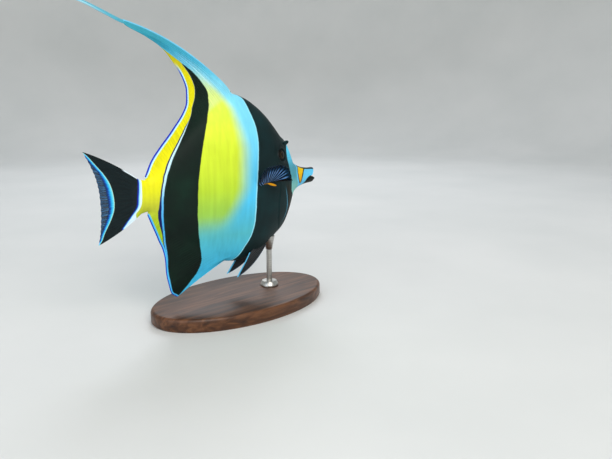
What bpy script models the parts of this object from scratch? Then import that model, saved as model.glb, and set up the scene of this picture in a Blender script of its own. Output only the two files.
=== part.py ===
"""A moorish idol, life size, as a still display model: the fish faces +X and one rod holds it over an oval base.

The fish is laid out in its own frame, whose origin is the middle of the tail fin's root, X to the snout and Z up.
The empty "fish_frame" lifts that frame over the stand. The middle of the base's underside is the part's origin.
"""

import math

import bmesh
import bpy
from mathutils import Matrix, Vector

MM = 0.001
GAP = 0.3 * MM

# Driving sizes of the fish, in its own frame
FIN_EDGE = 0.33 * MM
RIDGE = 0.17 * MM
ROOT_DEPTH = 3.0 * MM

# Profiles in millimetres. Each outline point is a place along the body and the height there.
BACK = (
    (0, 10.4), (4.5, 9.8), (12, 16.5), (24, 28), (36, 38.5), (48, 48), (60, 56), (72, 60.8), (82, 58), (92, 52.5),
    (101, 45.5), (108, 38.3), (114, 31.7), (117.4, 28.9), (119.6, 24.9), (121.3, 20.2), (123, 16.1), (125, 13.2),
    (127.5, 11), (131, 9.1), (136, 7.4), (141, 6.7), (145, 6.5), (149, 5.8), (150, 4.8),
)
BELLY = (
    (0, -10.4), (4.5, -9.6), (12, -16), (24, -27), (36, -37), (48, -45), (60, -50.5), (73, -52.6), (84, -51.8),
    (93, -49), (101, -43.9), (108, -39.3), (114, -34.7), (118, -28.4), (120.5, -20.8), (122.2, -15.4), (124.4, -12),
    (127, -9.7), (130, -7.8), (133.5, -6.4), (138, -5.4), (142, -4.9), (146, -4.6), (148.6, -3.4), (150, -1.6),
)
WIDTH = (
    (0, 2.6), (10, 3.7), (25, 6), (40, 8.5), (55, 10.6), (70, 12.1), (84, 12.8), (97, 12.8), (106, 12.1), (113, 10.8),
    (119, 9), (125, 7), (131, 5.3), (138, 4.3), (145, 3.6), (149, 2.7), (150, 1.7),
)
FLANK_FULLNESS = 2.2
FLANK_ROUNDING = 1.5

# Lines that part the flesh, front to back
GILL_EDGE = (
    (78, 90), (86, 60), (92, 40), (98, 23), (101.2, 14), (103.2, 6), (103.8, -4), (103, -14), (104, -24),
    (108, -34), (116, -52), (124, -90),
)
SNOUT_ROOT = ((122, 90), (126, 12), (127.4, 2), (126.4, -8), (122, -90))
# The mouth is a little open: its corner, the slanted front of the upper jaw and the top of the lower jaw
MOUTH_CORNER = (143.3, 0.5)
UPPER_FRONT = (147.4, 6.3)
LOWER_TOP = ((145.9, -0.4), (148.3, -2.5))
JAW_LINE = (137.2, -3.4)
JAW_ROOT = (135.6, -12)
STALK_FRONT = ((9, 90), (8.4, 8), (8.4, -8), (9, -90))

GILL_COVER = (
    (103.1, 11), (104.6, 5), (105, -4), (104.3, -13.5), (105.2, -22), (108.4, -29), (112, -27.5), (115.2, -20),
    (114.2, -10), (112.4, -1), (110.8, 6), (107.4, 10.6),
)
GILL_PROUD = 0.4 * MM
GILL_THICK = 1.5 * MM

EYE = Vector((106.5, 0, 19)) * MM
EYE_RADIUS = 4.9 * MM
EYE_DEPTH = 4.2 * MM
EYE_PROUD = 1.2 * MM
RIM_RADIUS = 0.75 * MM
HORN = Vector((115.6, 0, 26.4)) * MM
HORN_LENGTH = 4.2 * MM
HORN_RADIUS = 1.5 * MM
NOSTRILS = ((115.4, 17.6), (117, 15.6))
NOSTRIL_RADIUS = 0.8 * MM
LIP_RADIUS = 0.6 * MM

# Each fin is a fan of rays: how far along its root a ray starts (0 to 1), then where that ray ends, in millimetres
DORSAL_ROOT = (73.5, 4.6)
DORSAL_TIPS = (
    (0, -5, 101.9), (0.06, -4.3, 99.5), (0.144, 9, 93.5), (0.23, 19, 88), (0.317, 28, 78.5), (0.39, 33.5, 70.5),
    (0.44, 36.4, 63), (0.49, 36.6, 55.8), (0.547, 33.5, 48.5), (0.66, 25.5, 39.3), (0.78, 16.5, 30.3),
    (0.89, 9, 21), (1, 4, 12.2),
)
PENNANT_SHARE = 0.25
NOTCH_SHARE = 0.485
LEADING_BOW = 7 * MM
SHORT_SPINES = ((10, 0.15), (6.5, 0.8))
SPINE_RADIUS = 0.65 * MM
ANAL_ROOT = (66, 5)
ANAL_TIPS = (
    (0, 23, -68), (0.1, 18.8, -64.5), (0.23, 17, -58.5), (0.36, 15.9, -51), (0.49, 15.3, -43), (0.62, 14.1, -35.5),
    (0.75, 11.2, -28.5), (0.885, 7.6, -20), (1, 4.6, -12),
)
TAIL_TIPS = (
    (0, -35.8, 29.4), (0.15, -31.4, 21), (0.32, -28.2, 12.5), (0.48, -26.8, 4), (0.6, -26.5, -4), (0.74, -27, -12),
    (0.88, -28, -19), (1, -29.5, -24.8),
)
# The side fins stand off the body, so their tips also have a place across it
PECTORAL_FRONT = Vector((100, -9.6, 1.4)) * MM
PECTORAL_BACK = Vector((90.5, -9.8, -0.8)) * MM
PECTORAL_TIPS = (
    (0, 90.9, -37.8, 5), (0.2, 89.9, -35.6, 12.5), (0.4, 85.9, -32.1, 15.2), (0.6, 82.9, -27.7, 14.4),
    (0.8, 80.9, -22.9, 11.5), (1, 81.3, -17, 4.3),
)
PECTORAL_BOW = Vector((-2, -1, -1.2)) * MM
PELVIC_FRONT = Vector((97, -3, -45)) * MM
PELVIC_BACK = Vector((94, -2.6, -41)) * MM
PELVIC_TIPS = (
    (0, 68.2, -5.8, -62.8), (0.25, 70.2, -5.6, -60.2), (0.5, 73.2, -5.5, -56.6), (0.75, 76.6, -5.4, -52.5),
    (1, 79.8, -5.4, -47.8),
)
PELVIC_BOW = Vector((1.2, 0, -2.6)) * MM

# The streamer runs on from the pennant's end
STREAMER = (
    (-5.2, 0, 100.7), (-15, 0.1, 104), (-28, 0.4, 108.4), (-42, 1, 112.2), (-56, 1.8, 115), (-70, 2.7, 116.6),
    (-82, 3.6, 116.8), (-92, 4.4, 116),
)
STREAMER_HEIGHT = ((0, 1.22), (0.1, 1.0), (0.3, 0.8), (0.6, 0.6), (1, 0.3))
STREAMER_HALF_WIDTH = ((0, 0.5), (0.3, 0.45), (1, 0.28))
STREAMER_PARTS = (("streamer_root", 0, 0.33), ("streamer_middle", 0.33, 0.67), ("streamer_tip", 0.67, 1))

# The stand
FISH_LIFT = 86 * MM
BASE_CENTRE = 76 * MM
BASE_LENGTH = 138 * MM
BASE_WIDTH = 80 * MM
BASE_HEIGHT = 9 * MM
ROD_PLACE = 103 * MM
ROD_RADIUS = 2 * MM
CUP_RADIUS = 4.4 * MM
CUP_HEIGHT = 12 * MM
CUP_LAP = 5 * MM
COLLAR_RADIUS = 6.5 * MM
COLLAR_HEIGHT = 3.5 * MM

COLOURS = {
    "white": (0.50, 0.79, 0.88),
    "black": (0.012, 0.018, 0.022),
    "yellow": (0.86, 0.80, 0.02),
    "flank": (0.62, 0.80, 0.14),
    "eye": (0.03, 0.02, 0.015),
    "wood": (0.13, 0.06, 0.03),
    "steel": (0.62, 0.61, 0.58),
}


def clear_scene():
    for thing in list(bpy.data.objects):
        bpy.data.objects.remove(thing)


def through(points):
    """A smooth function through (place, value) points: cubic pieces whose slopes never overshoot."""
    xs = [point[0] for point in points]
    ys = [point[1] for point in points]
    rises = [(ys[i + 1] - ys[i]) / (xs[i + 1] - xs[i]) for i in range(len(xs) - 1)]
    slopes = [rises[0]]
    for before, after in zip(rises, rises[1:]):
        slopes.append(2 * before * after / (before + after) if before * after > 0 else 0)
    slopes.append(rises[-1])

    def value(x):
        x = min(max(x, xs[0]), xs[-1])
        i = max(k for k in range(len(xs) - 1) if xs[k] <= x or k == 0)
        step = xs[i + 1] - xs[i]
        t = (x - xs[i]) / step
        rise = ys[i] * (1 + 2 * t) + step * slopes[i] * t
        fall = ys[i + 1] * (3 - 2 * t) - step * slopes[i + 1] * (1 - t)
        return rise * (1 - t) ** 2 + fall * t**2

    return value


back_height = through(BACK)
belly_height = through(BELLY)
mid_width = through(WIDTH)


def flank(x, z, grow=0.0):
    """Half the body's thickness at a place on its side, in metres."""
    top = back_height(x / MM) * MM
    bottom = belly_height(x / MM) * MM
    share = abs(2 * z - top - bottom) / (top - bottom)
    round_off = max(0.0, 1 - min(1.0, share) ** FLANK_FULLNESS)
    return mid_width(x / MM) * MM * round_off ** (1 / FLANK_ROUNDING) + grow


def paint(thing, colour, roughness=0.45, metallic=0.0):
    made = bpy.data.materials.get(colour) or bpy.data.materials.new(colour)
    made.use_nodes = True
    shader = made.node_tree.nodes["Principled BSDF"]
    shader.inputs["Base Color"].default_value = (*COLOURS[colour], 1)
    shader.inputs["Roughness"].default_value = roughness
    shader.inputs["Metallic"].default_value = metallic
    thing.data.materials.clear()
    thing.data.materials.append(made)


def place(name, shape):
    """An object for a bmesh, in the scene's collection."""
    bmesh.ops.recalc_face_normals(shape, faces=shape.faces)
    mesh = bpy.data.meshes.new(name)
    shape.to_mesh(mesh)
    shape.free()
    thing = bpy.data.objects.new(name, mesh)
    bpy.context.scene.collection.objects.link(thing)
    return thing


def settle(thing):
    """Applies the object's modifiers."""
    bpy.context.view_layer.update()
    seen = thing.evaluated_get(bpy.context.evaluated_depsgraph_get())
    mesh = bpy.data.meshes.new_from_object(seen)
    thing.modifiers.clear()
    thing.data = mesh


def combine(thing, others, operation):
    """One Boolean of the object with a collection of closed pieces, which are then removed."""
    group = bpy.data.collections.new(thing.name + "_pieces")
    bpy.context.scene.collection.children.link(group)
    for other in others:
        group.objects.link(other)
        bpy.context.scene.collection.objects.unlink(other)
    step = thing.modifiers.new(operation.lower(), "BOOLEAN")
    step.operation = operation
    step.operand_type = "COLLECTION"
    step.collection = group
    step.solver = "EXACT"
    settle(thing)
    for other in others:
        bpy.data.objects.remove(other)
    bpy.data.collections.remove(group)
    keep_largest(thing)


def keep_largest(thing):
    """Drops flat folds, two faces back to back, and every loose piece of the mesh but the one with most volume."""
    shape = bmesh.new()
    shape.from_mesh(thing.data)
    corners = {}
    for face in shape.faces:
        corners.setdefault(frozenset(face.verts), []).append(face)
    folds = [face for faces in corners.values() if len(faces) > 1 for face in faces]
    bmesh.ops.delete(shape, geom=folds, context="FACES")
    left = set(shape.verts)
    islands = []
    while left:
        reached = [left.pop()]
        island = set(reached)
        while reached:
            for edge in reached.pop().link_edges:
                for vert in edge.verts:
                    if vert not in island:
                        island.add(vert)
                        left.discard(vert)
                        reached.append(vert)
        islands.append(island)

    def volume(island):
        faces = {face for vert in island for face in vert.link_faces}
        return sum(
            face.verts[0].co.dot(face.verts[i].co.cross(face.verts[i + 1].co))
            for face in faces
            for i in range(1, len(face.verts) - 1)
        )

    best = max(islands, key=volume)
    bmesh.ops.delete(shape, geom=[vert for vert in shape.verts if vert not in best], context="VERTS")
    shape.to_mesh(thing.data)
    shape.free()


def body_stations():
    """Places along the body where its section is drawn, closer together where it turns fast."""
    spans = ((0, 12, 4), (12, 90, 6), (90, 114, 4), (114, 132, 2), (132, 147, 3), (147, 150, 1.5))
    places = [start + step * i for start, end, step in spans for i in range(round((end - start) / step))]
    return [x * MM for x in places + [150]]


def body(name, grow=0.0, side_points=15):
    """The whole fish without fins, from the tail fin's root to the lips. A grown one reaches further out all round."""
    shape = bmesh.new()
    rings = []
    for x in body_stations():
        top = back_height(x / MM) * MM
        bottom = belly_height(x / MM) * MM
        middle, reach = (top + bottom) / 2, (top - bottom) / 2
        ring = bmesh.ops.create_circle(shape, segments=2 * side_points, radius=1)["verts"]
        for vert in ring:
            angle = math.atan2(vert.co.x, vert.co.y)
            height = middle + reach * math.cos(angle)
            side = flank(x, height) * (1 if math.sin(angle) > 0 else -1)
            if abs(math.sin(angle)) < 0.01:
                side = 0.0
            out = grow * math.sin(angle)
            rise = grow * math.cos(angle) * 1.2
            vert.co = Vector((x, side + out, height + rise))
        rings.append(ring)
    if grow > 0:
        for vert in rings[0]:
            vert.co.x -= grow
        for vert in rings[-1]:
            vert.co.x += grow
    for ring in (rings[0], rings[-1]):
        bmesh.ops.contextual_create(shape, geom=ring)
    caps = set(shape.faces)
    for before, after in zip(rings, rings[1:]):
        edges = [edge for ring in (before, after) for vert in ring for edge in vert.link_edges]
        loops = {edge for edge in edges if set(edge.verts) <= set(before) or set(edge.verts) <= set(after)}
        bmesh.ops.bridge_loops(shape, edges=list(loops))
    bmesh.ops.triangulate(shape, faces=[face for face in shape.faces if face in caps])
    return place(name, shape)


def prism(name, outline, low=-60 * MM, high=60 * MM):
    """A side-view outline, in millimetres, pushed through the fish from one side to the other."""
    shape = bmesh.new()
    face = shape.faces.new([shape.verts.new((x * MM, low, z * MM)) for x, z in outline])
    made = bmesh.ops.extrude_face_region(shape, geom=[face])["geom"]
    bmesh.ops.translate(shape, vec=(0, high - low, 0), verts=[v for v in made if isinstance(v, bmesh.types.BMVert)])
    return place(name, shape)


def shifted(line, across):
    """A parting line moved along the body by half the gap, to the front or to the back."""
    return [(x + across * 0.6 * GAP / MM, z) for x, z in line]


def ahead_of(line):
    """Everything from a parting line to past the snout."""
    line = shifted(line, 1)
    return prism("ahead", [*line, (170, line[-1][1]), (170, line[0][1])])


def behind(line):
    line = shifted(line, -1)
    return prism("behind", [*line, (-20, line[-1][1]), (-20, line[0][1])])


def jaw_region():
    """The lower jaw's share of the snout in the side view, half a gap inside its parting line."""
    half = GAP / MM / 2
    top = [(x, z - half) for x, z in (*reversed(LOWER_TOP), MOUTH_CORNER, JAW_LINE)]
    return prism("jaw", [*top, (JAW_ROOT[0] + half, JAW_ROOT[1]), (LOWER_TOP[-1][0], JAW_ROOT[1])])


def below_upper_jaw():
    """What the upper jaw leaves free: the open mouth and the lower jaw's room."""
    half = GAP / MM / 2
    line = [(x, z + half) for x, z in (UPPER_FRONT, MOUTH_CORNER, JAW_LINE)]
    return prism("mouth", [*line, (JAW_ROOT[0] - half, JAW_ROOT[1]), (156, JAW_ROOT[1]), (156, UPPER_FRONT[1])])


def lip(name, end, lift):
    """A rounded lip round a jaw's front edge, from one corner of the mouth to the other."""
    start = Vector(MOUTH_CORNER)
    edge = [start.lerp(Vector(end), share) for share in (0.1, 0.35, 0.6, 0.82, 0.95)]
    side = [Vector((x * MM, flank(x * MM, z * MM), (z + lift) * MM)) for x, z in edge]
    path = [*side, Vector((end[0] * MM, 0, (end[1] + lift) * MM)), *[spot * 1 for spot in reversed(side)]]
    for spot in path[len(side) + 1 :]:
        spot.y = -spot.y
    curve = bpy.data.curves.new(name, "CURVE")
    curve.dimensions = "3D"
    curve.bevel_depth = LIP_RADIUS
    curve.bevel_resolution = 2
    curve.use_fill_caps = True
    line = curve.splines.new("POLY")
    line.points.add(len(path) - 1)
    for point, spot in zip(line.points, path):
        point.co = (*spot, 1)
    drawn = bpy.data.objects.new(name + "_curve", curve)
    bpy.context.scene.collection.objects.link(drawn)
    bpy.context.view_layer.update()
    mesh = bpy.data.meshes.new_from_object(drawn.evaluated_get(bpy.context.evaluated_depsgraph_get()))
    bpy.data.objects.remove(drawn)
    shape = bmesh.new()
    shape.from_mesh(mesh)
    bmesh.ops.remove_doubles(shape, verts=shape.verts, dist=0.01 * MM)
    return place(name, shape)


def outward(spot, side):
    """The way the flank faces at a spot of the side view: a unit vector out of the fish."""
    step = 1 * MM
    along = (flank(spot.x + step, spot.z) - flank(spot.x - step, spot.z)) / (2 * step)
    up = (flank(spot.x, spot.z + step) - flank(spot.x, spot.z - step)) / (2 * step)
    return Vector((-along, side, -up)).normalized()


def on_flank(spot, side):
    return Vector((spot.x, side * flank(spot.x, spot.z), spot.z))


def turned(spot, facing):
    """A frame at the spot whose Z looks along facing."""
    return Matrix.Translation(spot) @ facing.to_track_quat("Z", "Y").to_matrix().to_4x4()


def eye_ball(name, side, grow=0.0):
    """A flattened ball that looks out of the head."""
    facing = outward(EYE, side)
    middle = on_flank(EYE, side) + facing * (EYE_PROUD - EYE_DEPTH)
    shape = bmesh.new()
    bmesh.ops.create_uvsphere(shape, u_segments=20, v_segments=10, radius=1)
    reach = EYE_RADIUS + grow
    bmesh.ops.scale(shape, vec=(reach, reach, EYE_DEPTH + grow), verts=shape.verts)
    bmesh.ops.transform(shape, matrix=turned(middle, facing), verts=shape.verts)
    return place(name, shape)


def eye_rim(side):
    """The raised ring of skin round an eye."""
    facing = outward(EYE, side)
    shape = bmesh.new()
    ring = bmesh.ops.create_circle(shape, segments=6, radius=RIM_RADIUS)["verts"]
    bmesh.ops.rotate(shape, matrix=Matrix.Rotation(math.pi / 2, 3, "X"), verts=ring)
    bmesh.ops.translate(shape, vec=(EYE_RADIUS + RIM_RADIUS * 0.7, 0, 0), verts=ring)
    bmesh.ops.spin(
        shape, geom=list(shape.edges), axis=(0, 0, 1), cent=(0, 0, 0), steps=20, angle=2 * math.pi, use_merge=True
    )
    bmesh.ops.remove_doubles(shape, verts=shape.verts, dist=0.01 * MM)
    spot = on_flank(EYE, side) + facing * 0.1 * MM
    bmesh.ops.transform(shape, matrix=turned(spot, facing), verts=shape.verts)
    return place("rim", shape)


def ball(spot, radius, name="ball"):
    shape = bmesh.new()
    bmesh.ops.create_uvsphere(shape, u_segments=8, v_segments=5, radius=radius)
    bmesh.ops.translate(shape, vec=spot, verts=shape.verts)
    return place(name, shape)


def horn(name, side):
    """The blunt bony knob ahead of an eye, leaning forward and out."""
    root = on_flank(HORN, side) * 1.0
    facing = Vector((0.84, side * 0.33, 0.43)).normalized()
    shape = bmesh.new()
    bmesh.ops.create_cone(
        shape, cap_ends=True, segments=12, radius1=HORN_RADIUS * 1.25, radius2=HORN_RADIUS * 0.4, depth=HORN_LENGTH
    )
    tip = [edge for edge in shape.edges if all(vert.co.z > 0 for vert in edge.verts)]
    bmesh.ops.bevel(shape, geom=tip, offset=0.35 * MM, segments=2, profile=0.5, affect="EDGES", material=-1)
    bmesh.ops.transform(shape, matrix=turned(root + facing * 0.6 * MM, facing), verts=shape.verts)
    return place(name, shape)


def fin_sheet(name, surface, thickness, columns, rows):
    """A thin closed fin. surface(u, v) gives its middle, with u across the rays and v out along them, and
    thickness(column, u, v) half of how thick it is. Both faces are split into triangles alike."""
    shape = bmesh.new()
    bmesh.ops.create_grid(shape, x_segments=columns, y_segments=rows, size=0.5)
    bmesh.ops.triangulate(shape, faces=shape.faces)
    twin = bmesh.ops.duplicate(shape, geom=[*shape.verts, *shape.edges, *shape.faces])
    far_side = {vert for vert in twin["geom"] if isinstance(vert, bmesh.types.BMVert)}
    step = 0.002
    for vert in shape.verts:
        u, v = vert.co.x + 0.5, vert.co.y + 0.5
        across = surface(min(1, u + step), v) - surface(max(0, u - step), v)
        along = surface(u, min(1, v + step)) - surface(u, max(0, v - step))
        facing = across.cross(along).normalized()
        half = thickness(round(u * columns), u, v) * (-1 if vert in far_side else 1)
        vert.co = surface(u, v) + facing * half
    bmesh.ops.bridge_loops(shape, edges=[edge for edge in shape.edges if edge.is_boundary])
    bmesh.ops.triangulate(shape, faces=shape.faces)
    return place(name, shape)


def bowed(start, end, bow, share):
    """A point on a ray that bends evenly off the straight line from its start to its end, in the side view."""
    straight = end - start
    off = Vector((straight.z, 0, -straight.x)).normalized()
    return start + straight * share + off * (4 * bow * share * (1 - share))


def spread(tips):
    """The margin of a fin, from its tip points, as a function of how far along the root the ray starts."""
    if len(tips[0]) == 3:
        tips = [(share, x, 0, z) for share, x, z in tips]
    lines = [through([(tip[0], tip[axis]) for tip in tips]) for axis in (1, 2, 3)]
    return lambda share: Vector([line(share) for line in lines]) * MM


def inside_root(edge_height, ends, share, inward):
    """Where a ray of a middle fin starts: under the body's edge, sunk by the root's depth."""
    x = ends[0] + (ends[1] - ends[0]) * share
    slope = (edge_height(x + 0.5) - edge_height(x - 0.5)) / 1.0
    off = Vector((-slope, 0, 1)).normalized() * inward
    return Vector((x, 0, edge_height(x))) * MM + off * ROOT_DEPTH


def ray_thickness(root, edge, root_share=0.3, lead=0.0):
    """Half the fin's thickness: thick at the root, thin at the edge, and raised along each second column, a ray."""

    def half(column, u, v):
        fade = max(0.0, 1 - v / root_share)
        rounded = root * fade**1.5 + edge
        ray = RIDGE if column % 2 == 0 else 0.0
        spine = lead * (1 - 0.6 * v) if column == 0 else 0.0
        return rounded + ray * min(1.0, v * 4) + spine

    return half


def dorsal_surface(low, high):
    margin = spread(DORSAL_TIPS)

    def surface(u, v):
        share = low + (high - low) * u
        start = inside_root(back_height, DORSAL_ROOT, share, -1)
        bow = LEADING_BOW * max(0.0, 1 - share / 0.62)
        return bowed(start, margin(share), bow, v)

    return surface


def short_spine(length, ahead):
    """One of the two short spines just ahead of the streamer's own. Its root is sunk in the back."""
    leading = dorsal_surface(0, 0.5)
    facing = (leading(0, 0.06) - leading(0, 0)).normalized()
    forward = Vector((facing.z, 0, -facing.x))
    shape = bmesh.new()
    bmesh.ops.create_cone(
        shape, cap_ends=True, segments=8, radius1=SPINE_RADIUS, radius2=SPINE_RADIUS * 0.4, depth=length * MM
    )
    middle = leading(0, 0) + facing * (length / 2) * MM + forward * ahead * MM
    bmesh.ops.transform(shape, matrix=turned(middle, facing), verts=shape.verts)
    return place("spine", shape)


def anal_surface(u, v):
    margin = spread(ANAL_TIPS)
    start = inside_root(belly_height, ANAL_ROOT, u, 1)
    return bowed(start, margin(u), 0.8 * MM * (1 - u), v)


def tail_surface(u, v):
    margin = spread(TAIL_TIPS)
    start = Vector((-GAP, 0, 10.4 * MM * (1 - 2 * u)))
    bow = (1.4 * (1 - 2 * u)) * MM
    spot = bowed(start, margin(u), bow, v)
    sway = -(min(0.0, spot.x) ** 2) * 2.2
    return Vector((spot.x, sway, spot.z))


def tail_thickness(column, u, v):
    """The tail fin's root has the section of the tail stalk's end."""
    stalk = 2.5 * MM * max(0.0, 1 - abs(2 * u - 1) ** FLANK_FULLNESS) ** (1 / FLANK_ROUNDING)
    fade = max(0.0, 1 - v / 0.32) ** 1.6
    edge = FIN_EDGE * (1 - 0.2 * v)
    ray = RIDGE if column % 2 == 0 else 0.0
    return edge + (stalk - edge * 0.5) * fade * (stalk > edge) + ray * min(1.0, v * 3)


def pectoral_surface(u, v):
    """A raised, cupped fan: its hind rays sweep back before they turn up."""
    start = PECTORAL_FRONT.lerp(PECTORAL_BACK, u)
    return start.lerp(spread(PECTORAL_TIPS)(u), v) + PECTORAL_BOW * (4 * v * (1 - v)) * (0.2 + 0.8 * u)


def pelvic_surface(u, v):
    """A narrow fin folded back along the belly, with a curved front edge."""
    start = PELVIC_FRONT.lerp(PELVIC_BACK, u)
    return start.lerp(spread(PELVIC_TIPS)(u), v) + PELVIC_BOW * (4 * v * (1 - v)) * (1 - u)


def mirrored(thing, name):
    """The other side's twin."""
    shape = bmesh.new()
    shape.from_mesh(thing.data)
    bmesh.ops.scale(shape, vec=(1, -1, 1), verts=shape.verts)
    bmesh.ops.reverse_faces(shape, faces=shape.faces)
    mesh = bpy.data.meshes.new(name)
    shape.to_mesh(mesh)
    shape.free()
    twin = bpy.data.objects.new(name, mesh)
    bpy.context.scene.collection.objects.link(twin)
    return twin


def off_body(thing, others=()):
    """Cuts the root back to the gap off the body."""
    combine(thing, [body("cutter", grow=GAP), *others], "DIFFERENCE")
    return thing


def make_flesh():
    """The head, snout, jaw, torso and tail stalk, parted with thin cuts."""
    made = {}
    made["tail_stalk"] = body("tail_stalk")
    combine(made["tail_stalk"], [behind(STALK_FRONT)], "INTERSECT")
    made["torso"] = body("torso")
    combine(made["torso"], [ahead_of(STALK_FRONT)], "INTERSECT")
    combine(made["torso"], [behind(GILL_EDGE)], "INTERSECT")
    made["head"] = body("head")
    combine(made["head"], [ahead_of(GILL_EDGE)], "INTERSECT")
    combine(made["head"], [behind(SNOUT_ROOT)], "INTERSECT")
    made["snout"] = body("snout")
    combine(made["snout"], [ahead_of(SNOUT_ROOT)], "INTERSECT")
    combine(made["snout"], [below_upper_jaw()], "DIFFERENCE")
    combine(made["snout"], [lip("upper_lip", (146.9, 5.7), 0.3)], "UNION")
    made["lower_jaw"] = body("lower_jaw")
    combine(made["lower_jaw"], [jaw_region()], "INTERSECT")
    combine(made["lower_jaw"], [lip("lower_lip", (147.6, -2), -0.45)], "UNION")
    return made


def gill_cover(name, side):
    """A thin plate that stands a little proud of the cheek."""
    plate = body(name, grow=GILL_PROUD)
    low, high = sorted((side * 2 * MM, side * 30 * MM))
    combine(plate, [prism("window", GILL_COVER, low, high)], "INTERSECT")
    combine(plate, [body("inner", grow=-GILL_THICK)], "DIFFERENCE")
    return plate


def gill_pocket(side):
    """The room for a gill cover in the head, a gap larger all round."""
    middle = Vector((sum(x for x, z in GILL_COVER), sum(z for x, z in GILL_COVER))) / len(GILL_COVER)
    outline = []
    for x, z in GILL_COVER:
        away = (Vector((x, z)) - middle).normalized() * 0.45
        outline.append((x + away.x, z + away.y))
    low, high = sorted((side * 1.5 * MM, side * 30 * MM))
    window = prism("pocket", outline, low, high)
    combine(window, [body("inner", grow=-GILL_THICK - GAP)], "DIFFERENCE")
    return window


def finish_head(head):
    combine(head, [eye_rim(-1), eye_rim(1)], "UNION")
    pits = [eye_ball("socket", side, grow=GAP) for side in (-1, 1)]
    for side in (-1, 1):
        for x, z in NOSTRILS:
            spot = Vector((x, 0, z)) * MM
            pits.append(ball(on_flank(spot, side) + outward(spot, side) * 0.2 * MM, NOSTRIL_RADIUS))
    combine(head, pits, "DIFFERENCE")
    combine(head, [gill_pocket(-1), gill_pocket(1)], "DIFFERENCE")


def make_fins():
    made = {}
    slit = 0.0025
    leading = ray_thickness(0.9 * MM, FIN_EDGE, 0.16, lead=0.4 * MM)
    soft = ray_thickness(0.9 * MM, FIN_EDGE, 0.45)
    lengths = (
        ("dorsal_pennant", 0, PENNANT_SHARE - slit, leading, 16, 12),
        ("dorsal_fin_upper", PENNANT_SHARE + slit, NOTCH_SHARE - slit, soft, 12, 8),
        ("dorsal_fin_lower", NOTCH_SHARE + slit, 1, soft, 24, 6),
    )
    for name, low, high, thickness, columns, rows in lengths:
        made[name] = fin_sheet(name, dorsal_surface(low, high), thickness, columns, rows)
    combine(made["dorsal_pennant"], [short_spine(*sizes) for sizes in SHORT_SPINES], "UNION")
    made["anal_fin"] = fin_sheet("anal_fin", anal_surface, ray_thickness(0.9 * MM, FIN_EDGE, 0.3, 0.25 * MM), 40, 8)
    made["tail_fin"] = fin_sheet("tail_fin", tail_surface, tail_thickness, 30, 9)
    side_fin = ray_thickness(0.55 * MM, 0.27 * MM, 0.3, lead=0.2 * MM)
    made["pectoral_fin_right"] = fin_sheet("pectoral_fin_right", pectoral_surface, side_fin, 26, 7)
    made["pelvic_fin_right"] = fin_sheet("pelvic_fin_right", pelvic_surface, side_fin, 12, 8)
    for name, fin in made.items():
        if name != "tail_fin":
            off_body(fin)
    made["pectoral_fin_left"] = mirrored(made["pectoral_fin_right"], "pectoral_fin_left")
    made["pelvic_fin_left"] = mirrored(made["pelvic_fin_right"], "pelvic_fin_left")
    return made


def streamer_part(name, low, high):
    """A length of the long thread that trails from the dorsal fin, from one share of its run to another."""
    knots = [i / (len(STREAMER) - 1) for i in range(len(STREAMER))]
    lines = [through([(knot, point[k]) for knot, point in zip(knots, STREAMER)]) for k in range(3)]
    tall, wide = through(STREAMER_HEIGHT), through(STREAMER_HALF_WIDTH)
    steps = 9
    shape = bmesh.new()
    rings = []
    clear = 0.0011
    for i in range(steps + 1):
        share = low + clear + (high - low - 2 * clear) * i / steps
        spot = Vector([line(share) for line in lines]) * MM
        run = Vector([line(share + 0.001) - line(share - 0.001) for line in lines])
        if share < 0.002:
            run = Vector(STREAMER[1]) - Vector(STREAMER[0])
        ring = bmesh.ops.create_circle(shape, segments=8, radius=1)["verts"]
        side = run.normalized().cross(Vector((0, 0, 1))).normalized()
        rise = side.cross(run.normalized())
        for vert in ring:
            vert.co = spot + side * (vert.co.x * wide(share) * MM) + rise * (vert.co.y * tall(share) * MM)
        rings.append(ring)
    for ring in (rings[0], rings[-1]):
        bmesh.ops.contextual_create(shape, geom=ring)
    for before, after in zip(rings, rings[1:]):
        edges = {edge for ring in (before, after) for vert in ring for edge in vert.link_edges}
        loops = [edge for edge in edges if set(edge.verts) <= set(before) or set(edge.verts) <= set(after)]
        bmesh.ops.bridge_loops(shape, edges=loops)
    return place(name, shape)


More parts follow.
